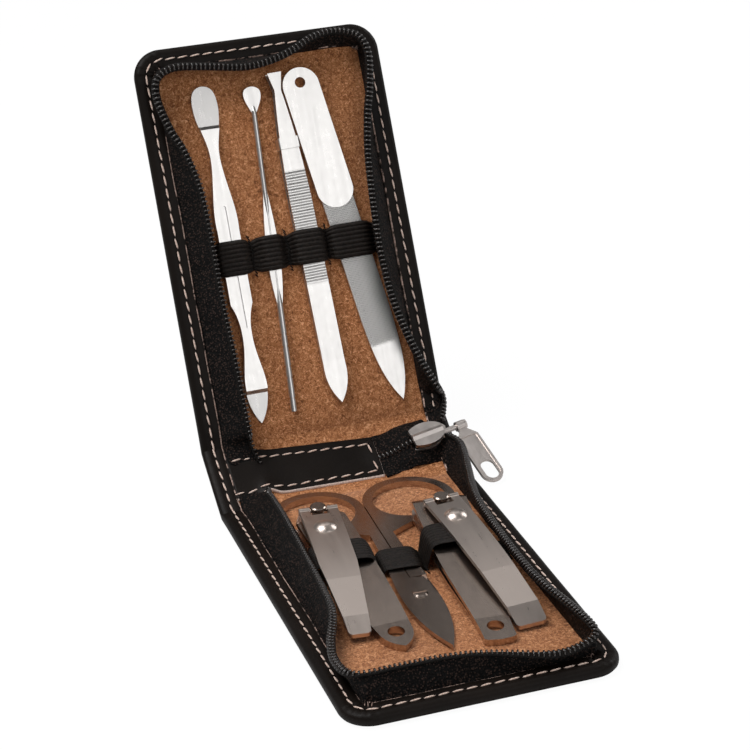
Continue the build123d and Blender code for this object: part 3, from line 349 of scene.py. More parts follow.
def make_leather():
    """Near-black leather with a fine grain and a little wear."""
    material, w, shader = new_material("near-black leather")
    at = object_vector(w)
    mottle = grouped(w, mottle_group, at, Size=60.0)
    colour = w.ramp(mottle["Broad"], [
        (0.3, (0.0045, 0.0027, 0.0018)), (0.7, (0.0100, 0.0062, 0.0043))])
    rough = w.add("ShaderNodeMath", {0: mottle["Fine"], 1: 0.22, 2: 0.38},
                  operation="MULTIPLY_ADD").outputs[0]
    w.feed(shader, {"Base Color": colour, "Roughness": rough, "Specular IOR Level": 0.16})
    grain = w.add("ShaderNodeTexVoronoi", {"Vector": at, "Scale": 1500.0}, feature="SMOOTH_F1")
    bump(w, shader, w.math("ADD", grain.outputs["Distance"], w.noise(at, 260.0, 3.0)), 0.05, 0.5)
    return material


def make_raw_edge(name, dark, pale, keep):
    """Cut edge of dyed leather: pinkish fibres that the dye missed, in broken runs."""
    material, w, shader = new_material(name)
    at = object_vector(w)
    runs = w.noise(at, 420.0, 4.0, 0.6)
    mask = w.ramp(runs, [(keep - 0.05, (0, 0, 0)), (keep + 0.05, (1, 1, 1))])
    fibres = w.ramp(w.noise(at, 2600.0, 3.0), [(0.3, dark), (0.7, pale)])
    w.feed(shader, {"Base Color": w.mix(mask, (0.014, 0.010, 0.008), fibres), "Roughness": 0.9})
    bump(w, shader, w.noise(at, 1800.0, 4.0), 0.15)
    return material


leather = make_leather()
hem_edge = make_raw_edge("cut edge of the hem", (0.30, 0.18, 0.14), (0.95, 0.70, 0.60), 0.48)
patch_edge = make_raw_edge("cut edge of the patch", (0.58, 0.41, 0.34), (1.0, 0.86, 0.79), 0.28)
print("leather finishes:", leather.name, "/", hem_edge.name, "/", patch_edge.name)

# %% [markdown]
# ## Suede
# The lining is tan suede, a split leather with a short nap. Hair strands would be the direct way,
# but at this distance the nap is only a speckle of pale and dark browns. So one noise drives both
# the colour and a low bump, and some sheen gives the soft edge of a nap.

# %% Suede
def make_suede():
    """Tan suede: a short nap in several browns, and slightly lighter and darker areas."""
    material, w, shader = new_material("tan suede")
    at = object_vector(w)
    nap = w.noise(at, 1100.0, 5.0, 0.8, 1.2)
    colour = w.ramp(nap, [
        (0.34, (0.10, 0.030, 0.008)), (0.46, (0.37, 0.130, 0.042)),
        (0.55, (0.56, 0.235, 0.090)), (0.68, (1.0, 0.56, 0.31))])
    broad = w.ramp(w.noise(at, 50.0, 3.0), [(0.3, (0.92, 0.92, 0.92)), (0.7, (1.12, 1.12, 1.12))])
    mixed = w.add("ShaderNodeVectorMath", {0: colour, 1: broad}, operation="MULTIPLY").outputs[0]
    w.feed(shader, {"Base Color": mixed, "Roughness": 0.95,
                    "Sheen Weight": 0.25, "Sheen Roughness": 0.5})
    bump(w, shader, nap, 0.13, 0.8)
    return material


suede = make_suede()
print("lining finish:", suede.name)

# %% [markdown]
# ## Zip tape, nylon and card
# The zip's tape is a black knit whose loops catch the light one by one. Modelled loops would take
# millions of faces, so a Voronoi cell stands for each loop, and its colour paints a highlight on
# the loop's top and shade in the gaps between loops. The woven edge under the teeth, the nylon of
# the teeth and the grey card share a plainer recipe: two tones and a small bump.

# %% Tape, nylon and card
def make_knit():
    """Knitted zip tape: loops in clumps, painted highlights on their tops, painted shade between.
    """
    material, w, shader = new_material("black knitted zip tape with painted loop light")
    at = object_vector(w)
    loops = w.add("ShaderNodeTexVoronoi", {"Vector": at, "Scale": 1650.0, "Randomness": 0.9})
    nub = w.math("SUBTRACT", 1.0, loops.outputs["Distance"])
    clump = w.math("ADD", w.math("MULTIPLY", w.noise(at, 900.0, 3.0, 0.6), 0.8), 0.3)
    height = w.math("MULTIPLY", nub, clump)
    # Painted shade in the gaps between loops and a painted highlight on their tops, from the bump
    # height.
    colour = w.ramp(height, [
        (0.30, (0.0004, 0.0002, 0.0002)), (0.42, (0.005, 0.003, 0.0022)),
        (0.58, (0.055, 0.033, 0.026))])
    w.feed(shader, {"Base Color": colour, "Roughness": 0.75, "Specular IOR Level": 0.2})
    bump(w, shader, height, 0.5)
    return material


def make_plain(name, dark, pale, rough, size, depth, gloss=0.3):
    """A finish with a fine two-tone mottle and a small bump."""
    material, w, shader = new_material(name)
    fine = w.noise(object_vector(w), size, 4.0, 0.6)
    w.feed(shader, {"Base Color": w.ramp(fine, [(0.3, dark), (0.7, pale)]),
                    "Roughness": rough, "Specular IOR Level": gloss})
    bump(w, shader, fine, depth)
    return material


knit = make_knit()
cord_cloth = make_plain("black twill cord", (0.0006, 0.0004, 0.0003), (0.009, 0.006, 0.0045),
                        0.8, 1900.0, 0.3)
coil_nylon = make_plain("dark nylon coil", (0.005, 0.0032, 0.0025), (0.030, 0.019, 0.015),
                        0.22, 600.0, 0.02, 1.0)
card = make_plain("grey card", (0.20, 0.18, 0.16), (0.36, 0.33, 0.29), 0.9, 900.0, 0.05)
print("zip finishes:", knit.name, "/", cord_cloth.name, "/", coil_nylon.name)

# %% [markdown]
# ## Elastic and thread
# The ribs of the elastic are real shape, but the fine threads across them are only 0.4 mm apart.
# They are a sine wave on the band's UV map, because it has to follow the band over its humps. The
# sewing thread is pale, with fibres that break up the highlight.

# %% Elastic and thread
def make_elastic():
    """Woven elastic: fine cross threads on the piece's own UV map, and some fuzz."""
    material, w, shader = new_material("black ribbed elastic")
    uv = w.add("ShaderNodeUVMap", uv_map="cloth").outputs[0]
    parts = w.add("ShaderNodeSeparateXYZ", {0: uv})
    waves = w.math("SINE", w.math("MULTIPLY", parts.outputs[0], 2 * math.pi / (0.38 * MM)))
    fuzz = w.noise(object_vector(w), 1500.0, 4.0)
    colour = w.ramp(fuzz, [(0.3, (0.003, 0.002, 0.0015)), (0.75, (0.022, 0.014, 0.010))])
    w.feed(shader, {"Base Color": colour, "Roughness": 0.55, "Specular IOR Level": 0.25})
    bump(w, shader, w.math("ADD", w.math("MULTIPLY", waves, 0.25), fuzz), 0.12)
    return material


def make_thread():
    """Pinkish cream sewing thread with fine fibres."""
    material, w, shader = new_material("pinkish cream thread")
    fibres = w.noise(object_vector(w), 2200.0, 3.0)
    colour = w.ramp(fibres, [(0.25, (0.52, 0.31, 0.235)), (0.62, (1.0, 0.80, 0.69))])
    w.feed(shader, {"Base Color": colour, "Roughness": 0.7, "Sheen Weight": 0.2})
    bump(w, shader, fibres, 0.08)
    return material


elastic = make_elastic()
thread = make_thread()
print("sewing finishes:", elastic.name, "/", thread.name)

# %% [markdown]
# ## Metals
# All the steel is brushed, from bright tools to dark, more polished ones, so one function makes
# every metal with its own tone and roughness. The file's crossed cuts and the ribs of the
# tweezers are too fine to model on every face. They are sine waves in a bump, kept to their part
# of the tool by two limits along its axis.

# %% Metals
CUT_EASE = 0.8      # over which a cut pattern starts, either side of its start
BRIGHT = (0.86, 0.84, 0.82)


def make_steel(name, base, rough, run=0.03, size=900.0, cut=None):
    """Brushed steel. cut=(axis, across, pitch, start, end, crossing) adds ribs square to an axis,
    or a file's crossed cuts where crossing is 1, between two places along the axis."""
    material, w, shader = new_material(name)
    at = object_vector(w)
    lines = grouped(w, brush_group, at, Size=size, Run=run)["Lines"]
    spots = grouped(w, mottle_group, at, Size=45.0)
    tone = w.mix(w.math("MULTIPLY", lines, 0.6), tuple(0.86 * c for c in base), base)
    level = w.add("ShaderNodeMapRange", {
        "Value": w.math("ADD", lines, w.math("MULTIPLY", spots["Fine"], 0.5)),
        "From Min": 0.4, "From Max": 1.1, "To Min": rough * 0.75, "To Max": rough * 1.3})
    w.feed(shader, {"Base Color": tone, "Metallic": 1.0, "Roughness": level.outputs[0]})
    height, depth = w.math("MULTIPLY", lines, 0.25), 0.004
    if cut:
        axis, across, pitch, start, end, crossing = cut
        along, side = (w.add("ShaderNodeVectorMath", {0: at, 1: direction},
                             operation="DOT_PRODUCT").outputs["Value"]
                       for direction in (axis, across))
        slant = w.math("MULTIPLY", side, 0.6 * crossing)
        turns = 2 * math.pi / (pitch * MM)
        one, two = (w.math("SINE", w.math("MULTIPLY", w.math(way, along, slant), turns))
                    for way in ("ADD", "SUBTRACT"))
        inside = w.add("ShaderNodeMapRange", {
            "Value": along, "From Min": (start - CUT_EASE) * MM,
            "From Max": (start + CUT_EASE) * MM}).outputs[0]
        before_end = w.math("LESS_THAN", along, end * MM)
        pattern = w.math("MULTIPLY", w.math("ADD", one, two), inside)
        pattern = w.math("MULTIPLY", pattern, before_end)
        height, depth = w.math("ADD", height, pattern), 0.03 if crossing else 0.035
    bump(w, shader, height, depth)
    return material


bright_steel = make_steel("bright brushed steel", BRIGHT, 0.30)
dark_steel = make_steel("warm polished steel", (0.56, 0.46, 0.40), 0.22, 0.25, 500.0)
lever_steel = make_steel("warm satin lever steel", (0.74, 0.64, 0.58), 0.31, 0.06, 700.0)
nickel = make_steel("satin nickel", (0.80, 0.73, 0.69), 0.40, 0.4, 500.0)
print("materials:", len(bpy.data.materials))

# %% [markdown]
# ## The leather covers
# One piece of leather covers each panel. Along the free edges it is rolled round the card and
# turned in as a hem, so the section is a flat C. A solid block would look too sharp, so that
# section is carried round the outline of the leaf. It is given as pairs of inset from the edge
# and height.

# %% Cover section and outlines
CORNER = 8.0
HEM = 6.0
LEAF_TOP = 3.5
SPINE_TOP = 2.5
CREASE_TOP = 2.9
CREASE_REACH = 6.0      # how far from a crease the hem gets thinner
SECTION = [
    (12.0, 0.0), (7.0, 0.0), (3.0, 0.0), (1.4, 0.06), (0.55, 0.36), (0.1, 0.95), (0.0, 1.6),
    (0.06, 2.3), (0.4, 2.95), (1.1, 3.36), (1.9, 3.5), (2.7, 3.44), (3.2, 3.3), (3.7, 3.44),
    (4.5, 3.5), (5.62, 3.47), (5.92, 3.36), (6.0, 3.15), (6.0, 2.75), (5.9, 2.65),
    (4.5, 2.4), (2.6, 1.5), (2.4, 0.9), (12.0, 0.8),
]
EDGE_FACES = {15, 16, 17, 18}
MITRE = math.tan(FOLD / 2)
print("points in the section:", len(SECTION))

# %% [markdown]
# ## Outline of a leaf
# The section stands at stations along the outline: up the left side, round a corner, along the
# far edge, round the other corner and down the right side. Stations are closer in the corners,
# because the leather is gathered into pleats there. The wobble is a smooth noise, the same at
# each run.

# %% Stations
def wobble(x, y, z, size, amount):
    """Smooth random offset, the same at each run."""
    return amount * noise.noise(Vector((x / size, y / size, z / size)))


def leaf_stations(count_side=90, count_corner=14, count_front=56):
    """Stations round a leaf: (x, v, inward normal's x and v, 1 at a corner)."""
    stations = []
    straight = LEAF - CORNER
    for v in np.concatenate([[0, 0.7, 1.4, 2.2, 3.2], np.linspace(4.5, straight, count_side)]):
        stations.append((-HALF_WIDTH, v, 1.0, 0.0, 0))
    for a in np.linspace(0, math.pi / 2, count_corner + 2)[1:-1]:
        stations.append((-HALF_WIDTH + CORNER * (1 - math.cos(a)), straight + CORNER * math.sin(a),
                         math.cos(a), -math.sin(a), 1))
    for x in np.linspace(-HALF_WIDTH + CORNER, HALF_WIDTH - CORNER, count_front):
        stations.append((x, LEAF, 0.0, -1.0, 0))
    mirrored = [(-x, v, -nx, nv, c) for x, v, nx, nv, c in reversed(stations[:-count_front])]
    return stations + mirrored

# %% [markdown]
# ## Covers of the leaves
# Close to a crease the leaf's leather has to end on the plane half way to the spine's, so that
# nothing gapes when the case folds. The pleats fade out towards the edge, where the leather is
# tight. Both rims of the C are closed with one face, so that the cover is a closed solid.

# %% Leaf covers
def leaf_cover(name, panel, seed):
    """Leather of one leaf: the rolled hem on three sides and the flat outside."""
    stations = leaf_stations()
    count = len(SECTION)
    points = np.zeros((len(stations), count, 3))
    for s, (x, v, nx, nv, corner) in enumerate(stations):
        top = CREASE_TOP + (LEAF_TOP - CREASE_TOP) * part_of(v, CREASE_REACH)
        wave = wobble(x, v, seed, 14.0, 0.35)
        pleat = corner * math.sin(s * 2.3 + seed)
        for k, (inset, w) in enumerate(SECTION):
            inner = part_of(inset - 1.0, 5.0)
            height = w * top / LEAF_TOP
            height += part_of(w - 2.0, 1.5) * (wave * 0.35 + pleat * (0.20 + 0.40 * inner))
            shift = inset + (wave * 0.8 if k >= 10 else 0) * inner
            if corner and inset > 5.0 and k >= 14:
                shift += 0.7 + 0.55 * pleat - (0.9 if k < 17 else 0.0)
            along = v + nv * shift
            if v < CREASE_REACH:
                along = max(along, (height - PIVOT) * MITRE * (1 - v / CREASE_REACH) + v)
            reach = HALF_WIDTH - shift
            points[s, k] = (min(max(x + nx * shift, -reach), reach), min(along, LEAF - shift),
                            height)
    obj = grid_piece(name, panel(points), [leather, hem_edge],
                     pick=lambda u, k: 1 if k in EDGE_FACES else 0)
    work = bmesh.new()
    work.from_mesh(obj.data)
    work.verts.ensure_lookup_table()
    for rim_place in (0, count - 1):
        rim = [work.verts[s * count + rim_place] for s in range(len(stations))]
        work.faces.new([b for a, b in zip(rim[-1:] + rim, rim) if (a.co - b.co).length > 1e-6])
    bmesh.ops.remove_doubles(work, verts=work.verts, dist=1e-6)
    bmesh.ops.triangulate(work, faces=[face for face in work.faces if len(face.verts) > 4])
    bmesh.ops.recalc_face_normals(work, faces=work.faces)
    work.to_mesh(obj.data)
    work.free()
    return obj

# %% [markdown]
# ## Cover of the spine
# The spine has the same hem at both ends. It is made in two halves that meet at its middle,
# because a piece can bend at one crease only.

# %% Spine cover
def spine_side(side, start, end, seed):
    """Hem of the spine's end, left for -1 and right for 1, between two stations up the spine."""
    rows = np.linspace(start, end, 14)
    points = np.zeros((len(rows), len(SECTION), 3))
    for r, s in enumerate(rows):
        near = min(s, SPINE - s)
        top = CREASE_TOP + (SPINE_TOP - CREASE_TOP) * min(near / 5.0, 1)
        wave = wobble(side * HALF_WIDTH, s, seed, 9.0, 0.3)
        for k, (inset, w) in enumerate(SECTION):
            height = w * top / LEAF_TOP
            mitre = (height - PIVOT) * MITRE * max(1 - near / CREASE_REACH, 0)
            shift = inset + (wave if k >= 14 else 0)
            points[r, k] = (side * (HALF_WIDTH - shift), s + mitre if s < SPINE / 2 else s - mitre,
                            height)
    return points


def spine_cover(name, start, end, seed):
    """One half of the spine's leather: both end hems and the flat outside between them."""
    points = np.concatenate([spine_side(-1, start, end, seed)[:, ::-1],
                             spine_side(1, start, end, seed + 3)], axis=1)
    count = len(SECTION)
    edge = {count - 2 - k for k in EDGE_FACES} | {count + k for k in EDGE_FACES}
    return grid_piece(name, spine(points), [leather, hem_edge],
                      pick=lambda u, k: 1 if k in edge else 0)


lower_leather = leaf_cover("lower_leather", lower, 1.7)
upper_leather = leaf_cover("upper_leather", upper, 5.2)
spine_leather_low = spine_cover("spine_leather_low", 0.0, SPINE / 2, 2.0)
spine_leather_high = spine_cover("spine_leather_high", SPINE / 2, SPINE, 2.0)
print("leather faces:", sum(len(o.data.polygons) for o in pieces.values()))

# %% [markdown]
# ## The suede lining
# The suede runs from one leaf over the spine to the other without a seam. Cloth simulation would
# crumple it at the creases in a new way each time, so its course is given instead, with a slight
# unevenness. Each half bends at one crease, so it is cut on the middle of the spine, under the
# patch.

# %% Lining
LINING_W = 2.3
LINING_SPINE_W = 1.32


def level_row(panel, xs, v, w):
    """A row of scene points across a panel, at one v and one w."""
    return panel(np.stack([xs, np.full_like(xs, v), np.full_like(xs, w)], 1))


def lining_rows(leaf_panel, from_low):
    """Rows of the lining from the leaf's far edge over the crease to the middle of the spine."""
    xs = np.linspace(-HALF_WIDTH + 4.0, HALF_WIDTH - 4.0, 70)
    rows = [level_row(leaf_panel, xs, v, LINING_W) for v in np.linspace(LEAF - 4.0, 6.0, 100)]
    for t in np.linspace(0, 1, 13)[1:]:
        rows.append(level_row(leaf_panel, xs, 6.0 - 5.2 * t, LINING_W - 0.5 * t**2))
    for s in np.linspace(1.6, SPINE / 2, 12):
        w = LINING_SPINE_W + 0.35 * max(0, 1 - (s - 1.6) / 3.0)
        rows.append(level_row(spine, xs, s if from_low else SPINE - s, w))
    rows = np.array(rows)
    for row in rows:
        for point in row:
            point[2] -= abs(wobble(*point, 7.0, 0.12))
    return rows


lower_suede = grid_piece("lower_suede", lining_rows(lower, True), [suede])
upper_suede = grid_piece("upper_suede", lining_rows(upper, False), [suede])
for lining in (lower_suede, upper_suede):
    thicken(lining, 0.4)
print("suede faces:", len(lower_suede.data.polygons) + len(upper_suede.data.polygons))

# %% [markdown]
# ## Course of the zip
# Each half of the zip is sewn under the hem and stands up with its coil along the top. The tape
# is slack, so its top wanders in and out. A simulation would not wander in these places, so the
# course of each coil is a list of points (x, v, w) read from the case, and so are the ends near
# the patch and the slider.

# %% Course of the zip
SEAM_W = 2.6            # height of the tape's seam on a leaf
STATIONS = 400          # points along a tape
WALL_ROWS = 15
UNDER_COIL = 0.7        # from the coil's centre line down to the top of the cloth


def seam_line():
    """Seam of a tape along the inside of the hem: left side, front, right side, as (x, v)."""
    side = HALF_WIDTH - HEM - 0.1
    far = LEAF - HEM - 0.1
    r = 4.0
    return [(-side, 3.0), (-side, 30), (-side, 60), (-side, far - r),
            (-side + 0.3 * r, far - 0.3 * r), (-side + r, far), (-10, far), (10, far),
            (side - r, far), (side - 0.3 * r, far - 0.3 * r), (side, far - r), (side, 60),
            (side, 30), (side, 3.0)]


LOWER_COIL = [
    (-23.2, 7.0, 9.2), (-23.6, 22, 10), (-24.2, 38.5, 10), (-25.5, 62.5, 10),
    (-27, 75.5, 10), (-31.4, 87.4, 9.2), (-33.0, 95.4, 8.9), (-31.9, 102.8, 9.5),
    (-27.5, 105.1, 9.9), (-19.5, 105.1, 10), (-7, 105.5, 10), (3.0, 106.7, 9.3),
    (17.8, 110.2, 7.5), (25.5, 109.6, 7.9), (30.0, 107.2, 8.5), (30.6, 104.5, 9.5),
    (29.4, 95.5, 10), (26.6, 80, 10), (26, 66.5, 10), (26.6, 45, 10), (28, 29.5, 10),
    (31.5, 15, 10), (33.6, 6.5, 10.4),
]
UPPER_COIL = [
    (-22.9, 5.0, 9.2), (-23.4, 26, 10), (-23.9, 41, 10), (-24.2, 70, 10),
    (-26.7, 83, 10), (-29.8, 90, 10), (-31.9, 97, 10), (-32.3, 102, 10), (-30.9, 105.4, 10),
    (-26, 107.6, 10), (-17, 106.7, 10), (-5.6, 105, 10), (2.5, 106, 10), (8.6, 108, 10),
    (14.8, 111, 9.6), (20.7, 112.2, 9.2), (26.3, 111.2, 9.2), (29.2, 109, 9.6),
    (30.6, 104, 10), (29.2, 95, 10), (26.9, 86.5, 10), (25, 76, 10), (24.1, 66, 10),
    (23.6, 56, 10), (23.4, 46, 10), (24.6, 33, 10), (28.2, 19, 10), (33.0, 7.2, 10),
]
LOWER_TO_SLIDER = [(34.5, 54.8, 10.4), (34.9, 57.8, 10.6), (34.6, 60.9, 10.6), (33.6, 63.9, 10.4)]
UPPER_TO_SLIDER = [(36.3, 77.6, 17.9), (36.3, 75.5, 16.9), (36.0, 74, 16.0), (35.3, 72.4, 15.1),
                   (34.3, 70.4, 14.2), (33.4, 68.6, 13.2)]
LOWER_SEAM_END = [(30.3, 1.0, 2.2), (30.4, 4.0, 2.2), (30.0, 8.0, 2.2), (29.0, 11.0, 2.3)]
UPPER_SEAM_END = [(30.3, SPINE - 1.0, 2.2), (30.4, SPINE - 3.5, 2.2), (30.0, SPINE - 6, 2.2),
                  (29.2, SPINE - 8, 2.3)]
LOWER_FROM_PATCH = [(-20.6, 6.4, 2.0), (-21.6, 3.6, 4.2), (-22.8, 0.9, 6.8)]
UPPER_FROM_PATCH = [(-20.8, 15.4, 2.0), (-21.7, 18.4, 4.0), (-22.5, 21.2, 6.6)]
LOWER_SEAM_START = [(-29.6, 6.6, 1.9), (-29.8, 3.6, 2.1), (-29.9, 1.0, 2.3)]
UPPER_SEAM_START = [(-29.6, 15.2, 1.9), (-29.8, 18.4, 2.1), (-29.9, 21.0, 2.3)]

# %% [markdown]
# ## Tape walls
# The cloth is ruled between the seam and the coil, as it hangs on the real case, with a belly and
# small folds. The two lines have different lengths, so each point of the coil is first given a
# point of the seam that moves on steadily. Without that, the cloth would twist in the corners.

# %% Tape walls
def match_rows(seam, top):
    """For each point of the top, a point of the seam that moves on steadily."""
    nearest = np.array([np.argmin(np.linalg.norm(seam - p, axis=1)) for p in top], float)
    steady = np.maximum.accumulate(nearest)
    padded = np.concatenate([np.full(10, steady[0]), steady, np.full(10, steady[-1])])
    eased = np.convolve(padded, np.ones(21) / 21, "valid")
    eased[0], eased[-1] = 0, len(top) - 1
    base = np.arange(len(seam))
    return np.stack([np.interp(eased, base, seam[:, k]) for k in range(3)], 1)


def wall(name, panel, from_patch, coil_points, to_slider, seam_ends, seed):
    """Tape wall from its seam up to the coil; returns it, the coil's path and the seam below."""
    round_leaf = panel([(x, v, SEAM_W) for x, v in seam_line()])
    seam = smooth_path(np.vstack([spine(seam_ends[0]), round_leaf, spine(seam_ends[1])]), STATIONS)
    top = smooth_path(np.vstack([spine(from_patch), panel(coil_points), to_slider]), STATIONS)
    below = match_rows(seam, top)
    points = np.zeros((STATIONS, WALL_ROWS, 3))
    for s, (a, path_point, tangent) in enumerate(zip(below, top, tangents(top))):
        b = path_point + unit(a - path_point) * UNDER_COIL
        side = unit(np.cross(tangent, b - a))
        for r in range(WALL_ROWS):
            t = r / (WALL_ROWS - 1)
            belly = math.sin(math.pi * t)
            fold = wobble(*b, 9.0, 1.0) + 0.5 * wobble(b[0] + 7 * t, b[1], b[2] + seed, 4.0, 1.0)
            points[s, r] = a + (b - a) * t + side * belly * 0.75 * fold
    return thicken(grid_piece(name, points, [knit]), 0.55, 0.0), top, below


lower_wall, lower_path, lower_seam = wall(
    "lower_zip_wall", lower, LOWER_FROM_PATCH, LOWER_COIL, LOWER_TO_SLIDER,
    (LOWER_SEAM_START, LOWER_SEAM_END), 3.0)
upper_wall, upper_path, upper_seam = wall(
    "upper_zip_wall", upper, UPPER_FROM_PATCH, UPPER_COIL, UPPER_TO_SLIDER,
    (UPPER_SEAM_START, UPPER_SEAM_END), 8.0)
print("tape faces:", len(lower_wall.data.polygons) + len(upper_wall.data.polygons))

# %% [markdown]
# ## Things that repeat along a line
# Coil teeth and stitches are the same small piece, again and again along a path. An Array
# modifier can't vary its copies, so a Geometry Nodes tree does this: it resamples the path at the
# pitch, turns one copy to the path's direction at each point, varies it a little with a seeded
# random value, and makes the copies real.

# %% Geometry Nodes tree
def instance_tree():
    """The tree: Path and Shape go in, and copies with one finish come out."""
    tree = bpy.data.node_groups.new("copies along a path", "GeometryNodeTree")
    for label, kind, default in (
            ("Path", "NodeSocketGeometry", None), ("Shape", "NodeSocketObject", None),
            ("Pitch", "NodeSocketFloat", 0.001), ("Turn", "NodeSocketFloat", 0.0),
            ("Play", "NodeSocketFloat", 0.0), ("Seed", "NodeSocketInt", 1),
            ("Finish", "NodeSocketMaterial", None)):
        socket = tree.interface.new_socket(label, in_out="INPUT", socket_type=kind)
        if default is not None:
            socket.default_value = default
    tree.interface.new_socket("Geometry", in_out="OUTPUT", socket_type="NodeSocketGeometry")
    w = Wiring(tree)
    given = w.add("NodeGroupInput").outputs
    curve = w.add("GeometryNodeMeshToCurve", {0: given["Path"]}).outputs[0]
    even = w.add("GeometryNodeResampleCurve", {"Curve": curve, "Length": given["Pitch"]},
                 mode="LENGTH")
    side = w.add("GeometryNodeInputNamedAttribute", {"Name": "side"}, data_type="FLOAT_VECTOR")
    tangent = w.add("GeometryNodeInputTangent").outputs[0]
    along = w.add("FunctionNodeAlignEulerToVector", {"Vector": tangent}, axis="X")
    up = w.add("FunctionNodeAlignEulerToVector", {
        "Rotation": along.outputs[0], "Vector": side.outputs["Attribute"]},
        axis="Z", pivot_axis="X")
    spread = w.add("FunctionNodeRandomValue", {
        2: w.math("SUBTRACT", given["Turn"], given["Play"]),
        3: w.math("ADD", given["Turn"], given["Play"]), "Seed": given["Seed"]},
        data_type="FLOAT")
    turned = w.add("FunctionNodeRotateEuler", {
        "Rotation": up.outputs[0], "Axis": (0, 0, 1), "Angle": spread.outputs[1]},
        rotation_type="AXIS_ANGLE", space="LOCAL")
    shape = w.add("GeometryNodeObjectInfo", {"Object": given["Shape"]})
    copies = w.add("GeometryNodeInstanceOnPoints", {
        "Points": even.outputs[0], "Instance": shape.outputs["Geometry"],
        "Rotation": turned.outputs[0]})
    real = w.add("GeometryNodeRealizeInstances", {0: copies.outputs[0]})
    painted = w.add("GeometryNodeSetMaterial", {0: real.outputs[0], "Material": given["Finish"]})
    w.add("NodeGroupOutput", {0: painted.outputs[0]})
    return tree


copies_tree = instance_tree()
print("nodes in the tree:", len(copies_tree.nodes))

# %% [markdown]
# ## Using the tree
# The path is a mesh of edges that carries the direction of the copies' Z as an attribute. The
# modifier's inputs are set by their identifiers. Then the result becomes a plain mesh and the
# modifier goes. The pattern is a rounded bar with only a few dozen faces, because it is repeated
# hundreds of times.

# %% Copies and patterns
def copies_along(name, path, sides, shape, pitch, finish, turn, play, seed):
    """Copies of a shape along a path in millimetres; sides gives the direction of the shape's Z,
    at each point of the path or once for all."""
    mesh = bpy.data.meshes.new(name)
    mesh.from_pydata((path * MM).tolist(), [(k, k + 1) for k in range(len(path) - 1)], [])
    attribute = mesh.attributes.new("side", "FLOAT_VECTOR", "POINT")
    attribute.data.foreach_set("vector", np.float32(np.broadcast_to(sides, path.shape)).reshape(-1))
    obj = bpy.data.objects.new(name, mesh)
    scene.collection.objects.link(obj)
    maker = obj.modifiers.new("copies", "NODES")
    maker.node_group = copies_tree
    values = {"Shape": shape, "Pitch": pitch * MM, "Turn": turn, "Play": play, "Seed": seed,
              "Finish": finish}
    for item in copies_tree.interface.items_tree:
        if item.item_type == "SOCKET" and item.in_out == "INPUT" and item.name in values:
            maker[item.identifier] = values[item.name]
    plain(obj)
    obj.data.materials.clear()
    obj.data.materials.append(finish)
    for polygon in obj.data.polygons:
        polygon.use_smooth = True
    pieces[name] = obj
    return obj


def small_shape(name, length, width, height, rings, around, square):
    """A rounded bar along X, the pattern for a stitch or a tooth; it isn't a piece itself."""
    mesh = bpy.data.meshes.new(name)
    work = bmesh.new()
    loops = []
    for k in range(rings + 1):
        t = -1 + 2 * k / rings
        r = max(1 - abs(t) ** 3, 0.0) ** square
        loops.append([work.verts.new((
            t * length / 2 * MM, math.cos(a) * width / 2 * max(r, 0.05) * MM,
            math.sin(a) * height / 2 * max(r, 0.05) * MM))
            for a in (2 * math.pi * j / around for j in range(around))])
    for a, b in zip(loops, loops[1:]):
        for j in range(around):
            work.faces.new((a[j], a[(j + 1) % around], b[(j + 1) % around], b[j]))
    work.faces.new(loops[0][::-1])
    work.faces.new(loops[-1])
    bmesh.ops.recalc_face_normals(work, faces=work.faces)
    work.to_mesh(mesh)
    work.free()
    return bpy.data.objects.new(name, mesh)


# %% [markdown]
# ## Coils
# A nylon coil shows as a row of short, shiny bars across the tape, 1.27 mm apart. A wound helix
# would have many more faces for the same look. Under the bars runs the woven edge of the tape,
# which is a flattened tube along the same path.

# %% Coils
TOOTH_PITCH = 1.27
CORD_SIDES = 8
CORD_DROP, CORD_HALF_WIDTH, CORD_HALF_HEIGHT = 0.5, 1.15, 0.4
tooth_shape = small_shape("tooth_pattern", 0.70, 2.15, 1.35, 5, 8, 0.4)


def coil(name, path, below, seed):
    """Teeth and the woven edge under them, along a path above the seam's row of points."""
    down = unit(below - path)
    teeth = copies_along(f"{name}_teeth", path, down, tooth_shape, TOOTH_PITCH, coil_nylon,
                         0.0, 0.06, seed)
    down = down[:, None]
    across = np.cross(tangents(path)[:, None], down)
    turns = (2 * math.pi * np.arange(CORD_SIDES) / CORD_SIDES)[None, :, None]
    points = (path[:, None] + down * CORD_DROP + across * np.cos(turns) * CORD_HALF_WIDTH
              + down * np.sin(turns) * CORD_HALF_HEIGHT)
    cord = grid_piece(f"{name}_cord", points, [cord_cloth], closed_v=True, caps=True)
    return teeth, outward(cord)


lower_teeth, lower_cord = coil("lower_coil", lower_path, lower_seam, 4)
upper_teeth, upper_cord = coil("upper_coil", upper_path, upper_seam, 9)
print("teeth faces:", len(lower_teeth.data.polygons) + len(upper_teeth.data.polygons))

# %% [markdown]
# ## Stitches
# The hem is sewn through with thick, pale thread. A stitch is a short rounded bar that lies in
# the groove of the hem, turned a little against the line, with a gap before the next one. A line
# of thread would need a new shape at each hole, but single bars look the same from above.

# %% Stitches round the case
STITCH_INSET = 3.2
STITCH_PITCH = 3.55
STITCH_W = 3.48
stitch_shape = small_shape("stitch_pattern", 3.05, 0.52, 0.46, 6, 8, 0.6)


def sew(name, line, out, seed, pitch=STITCH_PITCH, turn=0.09, play=0.05):
    """A run of stitches along a line of scene points."""
    return copies_along(name, line, out, stitch_shape, pitch, thread, turn, play, seed)


